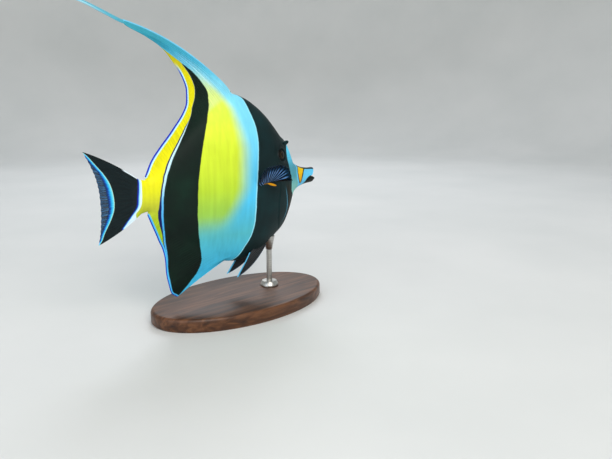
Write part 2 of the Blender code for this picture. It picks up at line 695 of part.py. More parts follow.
def make_stand():
    made = {}
    rod = Vector((ROD_PLACE - BASE_CENTRE, 0, 0))
    shape = bmesh.new()
    bmesh.ops.create_cone(shape, cap_ends=True, segments=48, radius1=1, radius2=1, depth=BASE_HEIGHT)
    bmesh.ops.scale(shape, vec=(BASE_LENGTH / 2, BASE_WIDTH / 2, 1), verts=shape.verts)
    bmesh.ops.translate(shape, vec=(0, 0, BASE_HEIGHT / 2), verts=shape.verts)
    top = [edge for edge in shape.edges if all(vert.co.z > BASE_HEIGHT / 2 for vert in edge.verts)]
    bmesh.ops.bevel(shape, geom=top, offset=2.2 * MM, segments=3, profile=0.5, affect="EDGES", material=-1)
    made["stand_base"] = place("stand_base", shape)
    belly = FISH_LIFT + belly_height(ROD_PLACE / MM) * MM
    cup_foot = belly - CUP_HEIGHT + CUP_LAP
    rod_low = BASE_HEIGHT + GAP
    rod_high = cup_foot - GAP
    shape = bmesh.new()
    bmesh.ops.create_cone(
        shape, cap_ends=True, segments=20, radius1=ROD_RADIUS, radius2=ROD_RADIUS, depth=rod_high - rod_low
    )
    bmesh.ops.translate(shape, vec=rod + Vector((0, 0, (rod_low + rod_high) / 2)), verts=shape.verts)
    made["stand_rod"] = place("stand_rod", shape)
    shape = bmesh.new()
    bmesh.ops.create_cone(
        shape, cap_ends=True, segments=24, radius1=COLLAR_RADIUS, radius2=COLLAR_RADIUS * 0.8, depth=COLLAR_HEIGHT
    )
    bmesh.ops.translate(shape, vec=rod + Vector((0, 0, BASE_HEIGHT + GAP + COLLAR_HEIGHT / 2)), verts=shape.verts)
    made["stand_collar"] = place("stand_collar", shape)
    shape = bmesh.new()
    bmesh.ops.create_cone(
        shape, cap_ends=True, segments=20, radius1=ROD_RADIUS + GAP, radius2=ROD_RADIUS + GAP, depth=4 * COLLAR_HEIGHT
    )
    bmesh.ops.translate(shape, vec=rod + Vector((0, 0, BASE_HEIGHT)), verts=shape.verts)
    combine(made["stand_collar"], [place("hole", shape)], "DIFFERENCE")
    shape = bmesh.new()
    bmesh.ops.create_cone(
        shape, cap_ends=True, segments=24, radius1=ROD_RADIUS * 1.2, radius2=CUP_RADIUS, depth=CUP_HEIGHT
    )
    bmesh.ops.translate(shape, vec=(ROD_PLACE, 0, cup_foot - FISH_LIFT + CUP_HEIGHT / 2), verts=shape.verts)
    made["stand_cup"] = off_body(place("stand_cup", shape))
    return made


def main():
    clear_scene()
    flesh = make_flesh()
    finish_head(flesh["head"])
    fins = make_fins()
    eyes = {f"eye_{word}": eye_ball(f"eye_{word}", side) for word, side in (("right", -1), ("left", 1))}
    horns = {"horn_right": off_body(horn("horn_right", -1))}
    horns["horn_left"] = mirrored(horns["horn_right"], "horn_left")
    covers = {"gill_cover_right": gill_cover("gill_cover_right", -1)}
    covers["gill_cover_left"] = mirrored(covers["gill_cover_right"], "gill_cover_left")
    streamer = {name: streamer_part(name, low, high) for name, low, high in STREAMER_PARTS}
    stand = make_stand()
    fish_frame = bpy.data.objects.new("fish_frame", None)
    bpy.context.scene.collection.objects.link(fish_frame)
    fish_frame.location = (-BASE_CENTRE, 0, FISH_LIFT)
    finishes = (
        (("tail_stalk", "dorsal_fin_upper", "dorsal_fin_lower"), "yellow"),
        (("torso",), "flank"),
        (("dorsal_pennant", "snout", *streamer), "white"),
        (("head", "lower_jaw", "anal_fin", "tail_fin", *horns, *covers), "black"),
        (("pectoral_fin_right", "pectoral_fin_left", "pelvic_fin_right", "pelvic_fin_left"), "black"),
        (tuple(eyes), "eye"),
    )
    parts = {**flesh, **fins, **eyes, **horns, **covers, **streamer}
    for names, colour in finishes:
        for name in names:
            paint(parts[name], colour, 0.2 if colour == "eye" else 0.45)
    for thing in [*parts.values(), stand["stand_cup"]]:
        thing.parent = fish_frame
    paint(stand["stand_base"], "wood", 0.35)
    for name in ("stand_rod", "stand_collar", "stand_cup"):
        paint(stand[name], "steel", 0.3, 1.0)
    for thing in [*parts.values(), *stand.values()]:
        thing.data.shade_smooth()
        thing.data.set_sharp_from_angle(angle=math.radians(38))


main()
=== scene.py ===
"""How a mounted moorish idol looks: one skin, rayed fins, eyes, horns and a stand, round the CAD frame.

Shapes are worked out in the fish's own frame, as in the CAD source: X runs from the tail fin's root to the
snout and Z is up. TO_STAND moves a finished piece over the stand.
"""

import math

import bmesh
import bpy
from mathutils import Matrix, Vector
from mathutils.kdtree import KDTree


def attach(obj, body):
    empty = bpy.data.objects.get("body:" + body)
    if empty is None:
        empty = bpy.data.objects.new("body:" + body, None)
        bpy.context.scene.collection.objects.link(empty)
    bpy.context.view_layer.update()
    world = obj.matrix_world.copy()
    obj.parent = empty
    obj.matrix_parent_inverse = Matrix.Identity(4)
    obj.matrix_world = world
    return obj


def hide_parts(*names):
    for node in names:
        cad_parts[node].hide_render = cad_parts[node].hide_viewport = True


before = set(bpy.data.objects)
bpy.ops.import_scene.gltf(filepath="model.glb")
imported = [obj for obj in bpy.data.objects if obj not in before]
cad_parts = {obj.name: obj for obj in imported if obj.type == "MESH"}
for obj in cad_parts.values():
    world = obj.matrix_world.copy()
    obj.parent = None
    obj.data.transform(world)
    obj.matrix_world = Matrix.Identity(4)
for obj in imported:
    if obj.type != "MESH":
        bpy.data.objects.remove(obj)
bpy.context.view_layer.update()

MM = 0.001
TO_STAND = Vector((-76, 0, 86)) * MM

# Outlines in millimetres: a place along the body and the height, or half the thickness, there
BACK = (
    (0, 10.4), (4.5, 9.8), (12, 16.5), (24, 28), (36, 38.5), (48, 48), (60, 56), (72, 60.8), (82, 58),
    (92, 52.5), (101, 45.5), (108, 38.3), (114, 31.7), (117.4, 28.9), (119.6, 24.9), (121.3, 20.2),
    (123, 16.1), (125, 13.2), (127.5, 11), (131, 9.1), (136, 7.4), (141, 6.7), (145, 6.5), (149, 5.8),
    (150, 4.8),
)
BELLY = (
    (0, -10.4), (4.5, -9.6), (12, -16), (24, -27), (36, -37), (48, -45), (60, -50.5), (73, -52.6),
    (84, -51.8), (93, -49), (101, -43.9), (108, -39.3), (114, -34.7), (118, -28.4), (120.5, -20.8),
    (122.2, -15.4), (124.4, -12), (127, -9.7), (130, -7.8), (133.5, -6.4), (138, -5.4), (142, -4.9),
    (146, -4.6), (148.6, -3.4), (150, -1.6),
)
WIDTH = (
    (0, 2.6), (10, 3.7), (25, 6), (40, 8.5), (55, 10.6), (70, 12.1), (84, 12.8), (97, 12.8), (106, 12.1),
    (113, 10.8), (119, 9), (125, 7), (131, 5.3), (138, 4.3), (145, 3.6), (149, 2.7), (150, 1.7),
)
FLANK_FULLNESS = 2.2
FLANK_ROUNDING = 1.5

# Forms of the head in the side view
GILL_EDGE = (
    (-60, 119), (-34, 108), (-24, 104), (-14, 103), (-4, 103.8), (6, 103.2), (14, 101.2), (23, 98), (40, 92)
)
CHEEK_EDGE = ((-30, 108), (-20, 112.5), (-8, 114), (2, 113), (10, 110), (16, 106))
EYE = Vector((106.5, 0, 19)) * MM
EYE_RADIUS = 4.9 * MM
EYE_DEPTH = 4.2 * MM
EYE_PROUD = 1.2 * MM
HORN = Vector((115.6, 0, 26.4)) * MM
NOSTRILS = ((115.4, 17.6), (117, 15.6))
MOUTH_CORNER = (143.3, 0.5)
UPPER_FRONT = (147, 6.3)
UPPER_LIP_END = (146.4, 5.7)
LOWER_TOP = ((145.4, -0.2), (146.9, -1.6))
LOWER_LIP_END = (146.3, -1.1)
JAW_LINE = (137.2, -3.4)

# Each fin is a fan of rays: how far along its root a ray starts (0 to 1), then where that ray ends
DORSAL_ROOT = (73.5, 4.6)
DORSAL_TIPS = (
    (0, -5, 101.9), (0.06, -4.3, 99.5), (0.144, 9, 93.5), (0.23, 19, 88), (0.317, 28, 78.5),
    (0.39, 33.4, 70.5), (0.44, 35.8, 63), (0.49, 35.5, 55.8), (0.547, 32.4, 48.5), (0.66, 25, 39.3),
    (0.78, 16.4, 30.3), (0.89, 9, 21), (1, 4, 12.2),
)
LEADING_BOW = 7 * MM
ANAL_ROOT = (66, 5)
ANAL_TIPS = (
    (0, 23, -68), (0.1, 18.8, -64.5), (0.23, 17, -58.5), (0.36, 15.9, -51), (0.49, 15.3, -43),
    (0.62, 14.1, -35.5), (0.75, 11.2, -28.5), (0.885, 7.6, -20), (1, 4.6, -12),
)
TAIL_TIPS = (
    (0, -35.8, 29.4), (0.15, -31.4, 21), (0.32, -28.2, 12.5), (0.48, -26.8, 4), (0.6, -26.5, -4),
    (0.74, -27, -12), (0.88, -28, -19), (1, -29.5, -24.8),
)
PECTORAL_FRONT = Vector((100, -9.6, 1.4)) * MM
PECTORAL_BACK = Vector((90.5, -9.8, -0.8)) * MM
PECTORAL_TIPS = (
    (0, 90.9, -37.8, 5), (0.2, 89.9, -35.6, 12.5), (0.4, 85.9, -32.1, 15.2), (0.6, 82.9, -27.7, 14.4),
    (0.8, 80.2, -22.9, 12), (1, 80, -17, 4.8),
)
PELVIC_FRONT = Vector((97, -3, -45)) * MM
PELVIC_BACK = Vector((94, -2.6, -41)) * MM
PELVIC_TIPS = (
    (0, 68.2, -5.8, -62.8), (0.25, 70.2, -5.6, -60.2), (0.5, 73.2, -5.5, -56.6), (0.75, 76.6, -5.4, -52.5),
    (1, 79.8, -5.4, -47.8),
)
STREAMER = (
    (-5.2, 0, 100.7), (-15, 0.1, 104.4), (-28, 0.4, 109.3), (-42, 1, 113.3), (-56, 1.8, 116.1),
    (-70, 2.7, 117.6), (-82, 3.6, 117.6), (-92, 4.4, 116.6),
)
STREAMER_HEIGHT = (
    (0, 0.2), (0.09, 0.75), (0.16, 1.02), (0.24, 0.98), (0.4, 0.8), (0.65, 0.6), (0.97, 0.3), (1, 0.12)
)
STREAMER_HALF_WIDTH = ((0, 0.06), (0.09, 0.14), (0.2, 0.28), (0.35, 0.34), (0.97, 0.24), (1, 0.12))

# The relief of painted skin and fin rays
SKIN_RELIEF = {"Strength": 0.3, "Distance": 0.1 * MM}

# How much further in a middle fin's rays start, and the share of the tail fin inside the stalk
RAY_SINK = 6 * MM
TAIL_SINK = 0.06

# The stand. The values without MM are millimetres in its outlines
BASE_LENGTH = 138 * MM
BASE_WIDTH = 80 * MM
BASE_HEIGHT = 9
BASE_ROUNDING = 2.4
ROD_PLACE = Vector((27, 0, 0)) * MM
ROD_RADIUS = 2
CUP_DEPTH = 7

# The camera: its place in metres, the way it looks and its lens
CAMERA_PLACE = (-0.27499, -0.34017, 0.14637)
CAMERA_AIM = (0.69191, 0.69191, -0.2062)
CAMERA_LENS = 37.7

# Edges of the markings in the side view: a height and the place along the body there, in millimetres
BAR_FRONT = (
    (-68.5, 21.5), (-66.7, 25), (-62, 31.2), (-55.5, 38.2), (-50.9, 41.3), (-45.9, 42.5), (-37.2, 40.5),
    (-24.8, 37.6), (-11.9, 36.4), (0.4, 36.8), (12.4, 38.5), (24.2, 41.4), (35.9, 45.4), (42, 48.1),
    (48.3, 50.4), (53.9, 52), (60.6, 52.1), (63.9, 50.9), (68.8, 46.8), (74.7, 40.5), (79, 33.5),
    (82.5, 27.9), (85.4, 23), (88, 18.8), (91, -12),
)
BAR_REAR = (
    (-68, 20), (-58, 18.4), (-50, 17.3), (-43, 17), (-37, 16.6), (-30, 15.8), (-25, 15.3), (-20.3, 14.9),
    (-15, 14.2), (-10, 13.7), (-4, 13.6), (3, 14.6), (11.5, 17), (20.5, 21.8), (29.4, 27.6), (36.2, 32.1),
    (43.8, 36.2), (48.5, 38.3), (52.4, 39.4), (56.3, 41), (60.2, 42), (64.1, 42.2), (67.3, 41.4),
    (69.9, 40.2), (74.1, 37.4), (78.7, 33.4), (82, 33.2), (92, 34),
)
WHITE_LINE_WIDTH = (
    (-60, 0.8), (-36, 1), (-10, 1.3), (4, 1.4), (20, 1.5), (30, 1.1), (40, 0.6), (45, 0), (60, 0)
)
BLUE_LINE_WIDTH = (
    (-60, 1.2), (-36, 1.5), (-26, 1.8), (-20, 2.8), (-15, 3.4), (-9, 3.2), (-3, 2.5), (4, 2.3), (20, 2.5),
    (30, 2.1), (40, 1.4), (46, 0), (60, 0),
)
YELLOW_FRONT = (
    (-40, 55), (-27, 57.5), (-20, 60.5), (-14.7, 64), (-7.1, 69), (0.7, 72), (16.6, 73), (24.4, 73.4),
    (32.3, 72.2), (40.1, 70.3), (51.7, 67.5), (59.4, 62.6), (66.9, 54.7), (74, 46),
)
YELLOW_SOFTNESS = ((-40, 11), (-10, 8.5), (20, 8), (40, 6.5), (58, 4), (74, 3))
HEAD_BAR_REAR = (
    (-53, 60), (-51.8, 66.5), (-50.6, 69.6), (-49, 71.4), (-45.8, 73.6), (-42, 75.6), (-35, 79.4),
    (-25, 81.4), (-6, 81.7), (7, 82.8), (20, 84.2), (29, 85.2), (38, 85), (49, 82), (56, 80.2), (58.6, 78.6),
    (59.9, 76), (60.6, 73), (62, 70),
)
FACE_EDGE = (
    (-24, 150), (-13, 123), (-9, 118.5), (-7, 117.2), (-2.6, 117.1), (-0.5, 117.3), (1.8, 116.5),
    (6.9, 115.4), (12, 114.3), (16.3, 113.2), (19, 113.4), (22, 114.6), (25, 116.8), (28, 120.5), (31, 127),
)
CHEST_LINE = (
    (-34, 105), (-28.3, 110.2), (-24.8, 112), (-21.1, 112.6), (-17.3, 112.5), (-13.5, 111.9), (-9.8, 111.1),
    (-3.8, 109.4), (4, 106),
)
TAIL_LINE_REAR = (
    (-17.4, -12.6), (-13.6, -9), (-9.8, -5.4), (-7.6, -3.6), (-6, -2.7), (-3.8, -2.1), (0, -1.9),
    (3.4, -1.5), (7, -1.1), (9.8, -0.7),
)
TAIL_LINE_FRONT = (
    (-14, -2.6), (-11, -3.7), (-9.8, -3.6), (-7.6, -1.8), (-6, -1), (-3.8, -0.4), (0, -0.1), (3.9, 0.1),
    (7, 0.5), (9.8, 1),
)
SADDLE_REAR = (
    (-3.4, 130.2), (-2.8, 129.7), (-0.3, 128.2), (1.9, 127.6), (4.2, 127.3), (6.2, 127.9), (8, 129.5)
)
SADDLE_FRONT = (
    (-3.4, 130.4), (-2.8, 130.8), (-1.1, 131.3), (0.8, 131.6), (2.9, 132.4), (4.2, 133.5), (5.5, 134.8),
    (6.7, 137),
)
SADDLE_BAND = (
    (-3.4, 131.6), (-2.3, 132.2), (-0.8, 132.4), (0.6, 132.9), (2.1, 133.5), (4.1, 134.8), (5.4, 136.3),
    (6.5, 138.5),
)
TAIL_CRESCENT = (
    (-24.6, -29), (-22, -26.8), (-19, -25.4), (-16.8, -24), (-14.6, -22.5), (-12.3, -21), (-9.2, -19.3),
    (-6, -18), (-2, -17.4), (2.6, -17.7), (6.8, -18.6), (10.6, -20), (13.6, -21.8), (16.6, -23.9),
    (19.3, -26.3), (23.5, -30), (26.5, -32.7), (29.6, -36.2),
)
TAIL_CRESCENT_WIDTH = (
    (-24, 1.6), (-16, 2.6), (-6, 3.6), (3, 4.2), (10, 3.8), (16.5, 2.5), (24, 2.2), (29, 1.2),
)
# This one gives a height for a place along the body
JAW_EDGE = (
    (135.6, -4.9), (136.3, -3.4), (137.1, -2.1), (138.1, -0.8), (139.8, 0.3), (141.5, 0.9), (143.3, 1),
    (152, 3),
)


def through(points):
    """A smooth function through (place, value) points: cubic pieces whose slopes never overshoot."""
    xs = [point[0] for point in points]
    ys = [point[1] for point in points]
    rises = [(ys[i + 1] - ys[i]) / (xs[i + 1] - xs[i]) for i in range(len(xs) - 1)]
    slopes = [rises[0]]
    for before, after in zip(rises, rises[1:]):
        slopes.append(2 * before * after / (before + after) if before * after > 0 else 0)
    slopes.append(rises[-1])

    def value(x):
        x = min(max(x, xs[0]), xs[-1])
        i = max(k for k in range(len(xs) - 1) if xs[k] <= x or k == 0)
        step = xs[i + 1] - xs[i]
        t = (x - xs[i]) / step
        rise = ys[i] * (1 + 2 * t) + step * slopes[i] * t
        fall = ys[i + 1] * (3 - 2 * t) - step * slopes[i + 1] * (1 - t)
        return rise * (1 - t) ** 2 + fall * t**2

    return value


back_height = through(BACK)
belly_height = through(BELLY)
mid_width = through(WIDTH)
gill_edge = through(GILL_EDGE)
cheek_edge = through(CHEEK_EDGE)


def flank(x, z):
    """Half the body's thickness at a place on its side, in metres. It is 0 outside the body's outline."""
    top = back_height(x / MM) * MM
    bottom = belly_height(x / MM) * MM
    share = abs(2 * z - top - bottom) / (top - bottom)
    round_off = max(0.0, 1 - min(1.0, share) ** FLANK_FULLNESS)
    return mid_width(x / MM) * MM * round_off ** (1 / FLANK_ROUNDING)


def eased(low, high, value):
    """0 below low, 1 above high and a soft step between."""
    share = min(1.0, max(0.0, (value - low) / (high - low)))
    return share * share * (3 - 2 * share)


def swell(off, width):
    """A rounded ridge: 1 on its line, falling off over the width."""
    return math.exp(-((off / width) ** 2))


def blended_max(a, b, reach):
    """The larger of two values, with a round transition where they are close."""
    near = max(0.0, reach - abs(a - b)) / reach
    return max(a, b) + near * near * reach / 4


# Objects

def place(name, shape, smooth_angle=40, moved=TO_STAND):
    """An object for a bmesh, moved over the stand and shaded smooth up to an angle."""
    bmesh.ops.translate(shape, vec=moved, verts=shape.verts)
    mesh = bpy.data.meshes.new(name)
    shape.to_mesh(mesh)
    shape.free()
    mesh.shade_smooth()
    mesh.set_sharp_from_angle(angle=math.radians(smooth_angle))
    thing = bpy.data.objects.new(name, mesh)
    bpy.context.scene.collection.objects.link(thing)
    return thing


def lathed(outline, steps=96, unit=MM):
    """A shape turned round Z from its (radius, height) outline, in millimetres unless a unit is given."""
    shape = bmesh.new()
    verts = [shape.verts.new((radius * unit, 0, height * unit)) for radius, height in outline]
    edges = [shape.edges.new(pair) for pair in zip(verts, verts[1:])]
    line = [*verts, *edges]
    bmesh.ops.spin(
        shape, geom=line, axis=(0, 0, 1), cent=(0, 0, 0), steps=steps, angle=2 * math.pi, use_merge=True
    )
    bmesh.ops.remove_doubles(shape, verts=shape.verts, dist=0.002 * MM)
    bmesh.ops.recalc_face_normals(shape, faces=shape.faces)
    return shape


def cut_or_join(thing, other, operation):
    """One Boolean of the object with a closed piece, which is then removed."""
    step = thing.modifiers.new(operation.lower(), "BOOLEAN")
    step.operation = operation
    step.object = other
    step.solver = "EXACT"
    bpy.context.view_layer.update()
    mesh = bpy.data.meshes.new_from_object(thing.evaluated_get(bpy.context.evaluated_depsgraph_get()))
    thing.modifiers.clear()
    thing.data = mesh
    bpy.data.objects.remove(other)


def finish_piece(thing, material, slot, *nodes):
    """Gives a piece its material and its body, and hides the CAD nodes it stands for. The slot is not used.
    """
    if material is not None:
        thing.data.materials.clear()
        thing.data.materials.append(material)
    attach(thing, "root")
    if nodes:
        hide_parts(*nodes)


# Materials

def linear(hex_colour):
    """An sRGB hex colour as linear light."""
    channels = [int(hex_colour[i : i + 2], 16) / 255 for i in (1, 3, 5)]
    return (*[c / 12.92 if c <= 0.04045 else ((c + 0.055) / 1.055) ** 2.4 for c in channels], 1)


def feed(tree, source, socket):
    """Gives a socket a number or a hex colour, or links it to another socket or a node's first output."""
    if isinstance(source, (int, float)):
        socket.default_value = source
    elif isinstance(source, str):
        socket.default_value = linear(source)
    elif isinstance(source, bpy.types.Node):
        tree.links.new(source.outputs[0], socket)
    else:
        tree.links.new(source, socket)


def add(tree, kind, settings=None, links=None, stops=()):
    """Adds a node. A setting is one of the node's own properties or else the value of an input, a link is
    what feeds an input, and the stops are a colour ramp's places and hex colours."""
    made = tree.nodes.new("ShaderNode" + kind)
    for name, value in (settings or {}).items():
        if isinstance(name, str) and hasattr(made, name):
            setattr(made, name, value)
        else:
            made.inputs[name].default_value = value
    for name, source in (links or {}).items():
        feed(tree, source, made.inputs[name])
    for i, (at, colour) in enumerate(stops):
        stop = made.color_ramp.elements.new(at) if i > 1 else made.color_ramp.elements[i]
        stop.position = at
        stop.color = linear(colour)
    return made


def new_material(name):
    """An empty material with a shader and its output."""
    made = bpy.data.materials.new(name)
    made.use_nodes = True
    tree = made.node_tree
    shader = tree.nodes["Principled BSDF"]
    return made, tree, shader


def dress(tree, shader, values, sources):
    """Sets a shader's inputs and feeds others from nodes, each by its name."""
    for name, value in values.items():
        shader.inputs[name].default_value = value
    for name, source in sources.items():
        feed(tree, source, shader.inputs[name])


def fish_place(tree):
    """Sockets of the place on the fish, in millimetres and its own frame: the whole, along, across and up."""
    where = add(tree, "TexCoord").outputs["Object"]
    settings = {"Scale": (1 / MM, 1 / MM, 1 / MM), "Location": -TO_STAND / MM}
    whole = add(tree, "Mapping", settings, {"Vector": where})
    parts = add(tree, "SeparateXYZ", links={0: whole}).outputs
    return whole, parts[0], parts[1], parts[2]


def curve_value(tree, source, points):
    """A value that follows the curve through (source, value) points."""
    low, high = points[0][0], points[-1][0]
    values = [value for _, value in points]
    least, most = min(values), max(values)
    share = add(tree, "MapRange", {1: low, 2: high}, {0: source})
    curve = add(tree, "FloatCurve", links={"Value": share})
    line = curve.mapping.curves[0]
    smooth = through(points)
    steps = 24
    places = sorted(
        {(point[0] - low) / (high - low) for point in points} | {i / steps for i in range(steps + 1)}
    )
    while len(line.points) < len(places):
        line.points.new(0.5, 0.5)
    for point, at in zip(line.points, places):
        point.location = (at, (smooth(low + at * (high - low)) - least) / (most - least))
        point.handle_type = "VECTOR"
    curve.mapping.update()
    return add(tree, "MapRange", {3: least, 4: most, "clamp": False}, {0: curve})


def past_edge(tree, along, up, points, soft=0.35, wider=None):
    """A mask that is 1 ahead of an edge given by (height, place) points, over a soft border. The border's
    softness and how far the edge is moved back may be numbers or nodes, in millimetres."""
    edge = curve_value(tree, up, points)
    ahead = add(tree, "Math", {"operation": "SUBTRACT"}, {0: along, 1: edge})
    if wider is not None:
        ahead = add(tree, "Math", {"operation": "ADD"}, {0: ahead, 1: wider})
    share = add(tree, "Math", {"operation": "DIVIDE"}, {0: ahead, 1: soft})
    settings = {"interpolation_type": "SMOOTHSTEP", 1: -1.0, 2: 1.0}
    return add(tree, "MapRange", settings, {0: share})


def opposite(tree, mask):
    """A mask that is 1 where another is 0."""
    return add(tree, "Math", {"operation": "SUBTRACT", 0: 1.0}, {1: mask})


def masked(tree, *masks):
    """The product of masks."""
    product = masks[0]
    for mask in masks[1:]:
        product = add(tree, "Math", {"operation": "MULTIPLY"}, {0: product, 1: mask})
    return product


def within(tree, source, low, high, soft):
    """A mask that is 1 where a value lies between two limits."""
    rise = {"interpolation_type": "SMOOTHSTEP", 1: low - soft, 2: low + soft}
    fall = {"interpolation_type": "SMOOTHSTEP", 1: high - soft, 2: high + soft, 3: 1.0, 4: 0.0}
    up = add(tree, "MapRange", rise, {0: source})
    down = add(tree, "MapRange", fall, {0: source})
    return masked(tree, up, down)


def layered(tree, base, layers):
    """A base colour with layers over it: each is a mask and a colour, and lies over those before it."""
    for mask, colour in layers:
        base = add(tree, "Mix", {"data_type": "RGBA"}, {0: mask, 6: base, 7: colour}).outputs[2]
    return base


def by_height(tree, up, low, high, *stops):
    """A colour that changes with the height, from (millimetres, hex colour) stops."""
    share = add(tree, "MapRange", {1: low, 2: high}, {0: up})
    stops = [((at - low) / (high - low), colour) for at, colour in stops]
    return add(tree, "ValToRGB", {}, {0: share}, stops)


def rear_yellow(tree, up):
    """The yellow between the rear bar and the tail, duller underneath."""
    return by_height(
        tree, up, -55, 95, (-55, "#8cb81c"), (-28, "#9cc01c"), (-14, "#a8c024"), (-8, "#b8c034"),
        (-3, "#ccd02c"), (3, "#dede1c"), (10, "#e8e20c"), (50, "#e8e40a"), (72, "#e2d800"), (84, "#b4ae14"),
        (95, "#9c9c28"),
    )


def markings(tree, place_on_fish):
    """The moorish idol's coat: pale blue and yellow zones, two black bars, the face and the orange saddle."""
    whole, along, across, up = place_on_fish
    wander = add(tree, "TexNoise", {"Scale": 0.16, "Detail": 3.0, "Roughness": 0.6}, {"Vector": whole})
    off = add(tree, "MapRange", {3: -0.4, 4: 0.4}, {0: wander})
    ragged = add(tree, "Math", {"operation": "ADD"}, {0: along, 1: off})
    tone = add(tree, "TexNoise", {"Scale": 0.05, "Detail": 4.0}, {"Vector": whole})

    # The colour of each zone changes with the height in millimetres
    pale = by_height(
        tree, up, -55, 105, (-55, "#3fb8e4"), (-43, "#4cbede"), (-32, "#54bccc"), (-24, "#50bcd8"),
        (-8, "#50c6f4"), (8, "#5cccf8"), (24, "#70d6fc"), (44, "#7cdafc"), (58, "#80daf8"), (67, "#84d8f2"),
        (74, "#64c8e8"), (82, "#46b0d6"), (91, "#3ca4be"), (105, "#40a2b4"),
    )
    yellow = by_height(
        tree, up, -35, 80, (-35, "#70c088"), (-24, "#8cc868"), (-14, "#9ccc4c"), (0, "#b6d634"),
        (12, "#c6de34"), (24, "#d0e634"), (38, "#dcee3e"), (50, "#d6ea48"), (80, "#dcee80"),
    )
    rear = rear_yellow(tree, up)
    white_line = by_height(
        tree, up, -60, 30, (-60, "#5cc0f0"), (-18, "#48b0f0"), (-4, "#64bcf4"), (6, "#bce8fc"),
        (30, "#ccf2fc"),
    )
    stops = ((0.3, "#02181a"), (0.55, "#042326"), (0.75, "#062c2f"))
    black = add(tree, "ValToRGB", {}, {0: tone}, stops)
    stops = ((0.3, "#02130f"), (0.55, "#031b13"), (0.75, "#052419"))
    rear_black = add(tree, "ValToRGB", {}, {0: tone}, stops)
    # The yellow is paler on the fin than on the body
    back_at = curve_value(tree, along, BACK[:14])
    above_back = add(tree, "Math", {"operation": "SUBTRACT"}, {0: up, 1: back_at})
    settings = {"interpolation_type": "SMOOTHSTEP", 1: -2.5, 2: 2.0}
    on_fin = add(tree, "MapRange", settings, {0: above_back})
    ahead_of_bar = add(tree, "MapRange", {1: 20.0, 2: 34.0}, {0: along})
    yellow = layered(tree, yellow, [(masked(tree, on_fin, ahead_of_bar), "#d6ec88")])

    # The yellow patch fades into the pale blue ahead of it, below it and up on the fin
    rise = add(tree, "MapRange", {"interpolation_type": "SMOOTHSTEP", 1: -35.0, 2: -16.0}, {0: up})
    fall = add(tree, "MapRange", {"interpolation_type": "SMOOTHSTEP", 1: 80.0, 2: 58.0}, {0: up})
    softness = curve_value(tree, up, YELLOW_SOFTNESS)
    behind = opposite(tree, past_edge(tree, ragged, up, YELLOW_FRONT, softness))
    middle = layered(tree, pale, [(masked(tree, rise, fall, behind), yellow)])

    # The face's colour holds painted shade: grey-blue across its middle, brighter towards the horns and
    # beside the saddle
    face = by_height(
        tree, up, -12, 26, (-12, "#8ccac0"), (-4, "#78bcb8"), (3, "#4c9cac"), (9, "#4a9ab0"), (15, "#56bede"),
        (20, "#5cd2f8"), (26, "#60d8ff"),
    )
    saddle = by_height(tree, up, -4, 8, (-4, "#b08400"), (0.4, "#ecac00"), (4.4, "#f0c000"), (8, "#e8c804"))
    above_tip = add(tree, "MapRange", {1: -3.9, 2: -3.3}, {0: up})
    band_start = past_edge(tree, along, up, SADDLE_REAR, 0.2, 0.95)
    band_end = opposite(tree, past_edge(tree, along, up, SADDLE_BAND, 0.2, 0.2))
    wedge_start = past_edge(tree, along, up, SADDLE_REAR, 0.2)
    wedge_end = opposite(tree, past_edge(tree, along, up, SADDLE_FRONT, 0.2))
    # The lower jaw is black under a slanted line, and a black line runs along the ridge of the snout
    under_jaw = add(tree, "Math", {"operation": "SUBTRACT"}, {0: curve_value(tree, along, JAW_EDGE), 1: up})
    jaw = add(tree, "MapRange", {1: -0.15, 2: 0.2}, {0: under_jaw})
    ridge_height = curve_value(tree, along, [point for point in BACK if point[0] > 110])
    under_ridge = add(tree, "Math", {"operation": "SUBTRACT"}, {0: ridge_height, 1: up})
    on_ridge = add(tree, "MapRange", {1: 1.25, 2: 0.85}, {0: under_ridge})
    snout_line = masked(tree, on_ridge, within(tree, along, 129.6, 147.0, 0.5))

    # The pale line down the chest, the bright ridge over the forehead and the orange under the pectoral fin
    chest_edge = curve_value(tree, up, CHEST_LINE)
    chest_off = add(tree, "Math", {"operation": "SUBTRACT"}, {0: along, 1: chest_edge})
    chest_line = masked(tree, within(tree, chest_off, -0.22, 0.22, 0.2), within(tree, up, -27.0, -6.0, 4.0))
    brown = masked(tree, within(tree, chest_off, 1.0, 6.0, 2.0), within(tree, up, -26.0, -3.0, 6.0))
    nape = masked(
        tree,
        within(tree, across, -0.5, 0.5, 0.25),
        within(tree, along, 100.0, 121.0, 3.0),
        within(tree, up, 26, 90, 0.5),
    )
    slant = add(tree, "Math", {"operation": "MULTIPLY_ADD", 1: 0.27}, {0: along, 2: up})
    off_long = add(tree, "MapRange", {1: 91.3, 2: 99.4, 3: -1.0, "clamp": False}, {0: along})
    off_high = add(tree, "MapRange", {1: 24.45, 2: 26.05, 3: -1.0, "clamp": False}, {0: slant})
    off_both = add(tree, "CombineXYZ", {}, {0: off_long, 1: off_high})
    from_middle = add(tree, "VectorMath", {"operation": "LENGTH"}, {0: off_both}).outputs["Value"]
    axil = add(tree, "MapRange", {1: 1.1, 2: 0.85}, {0: from_middle})
    axil_line = masked(tree, within(tree, up, 0.2, 0.75, 0.2), within(tree, along, 86.4, 92.0, 0.8))

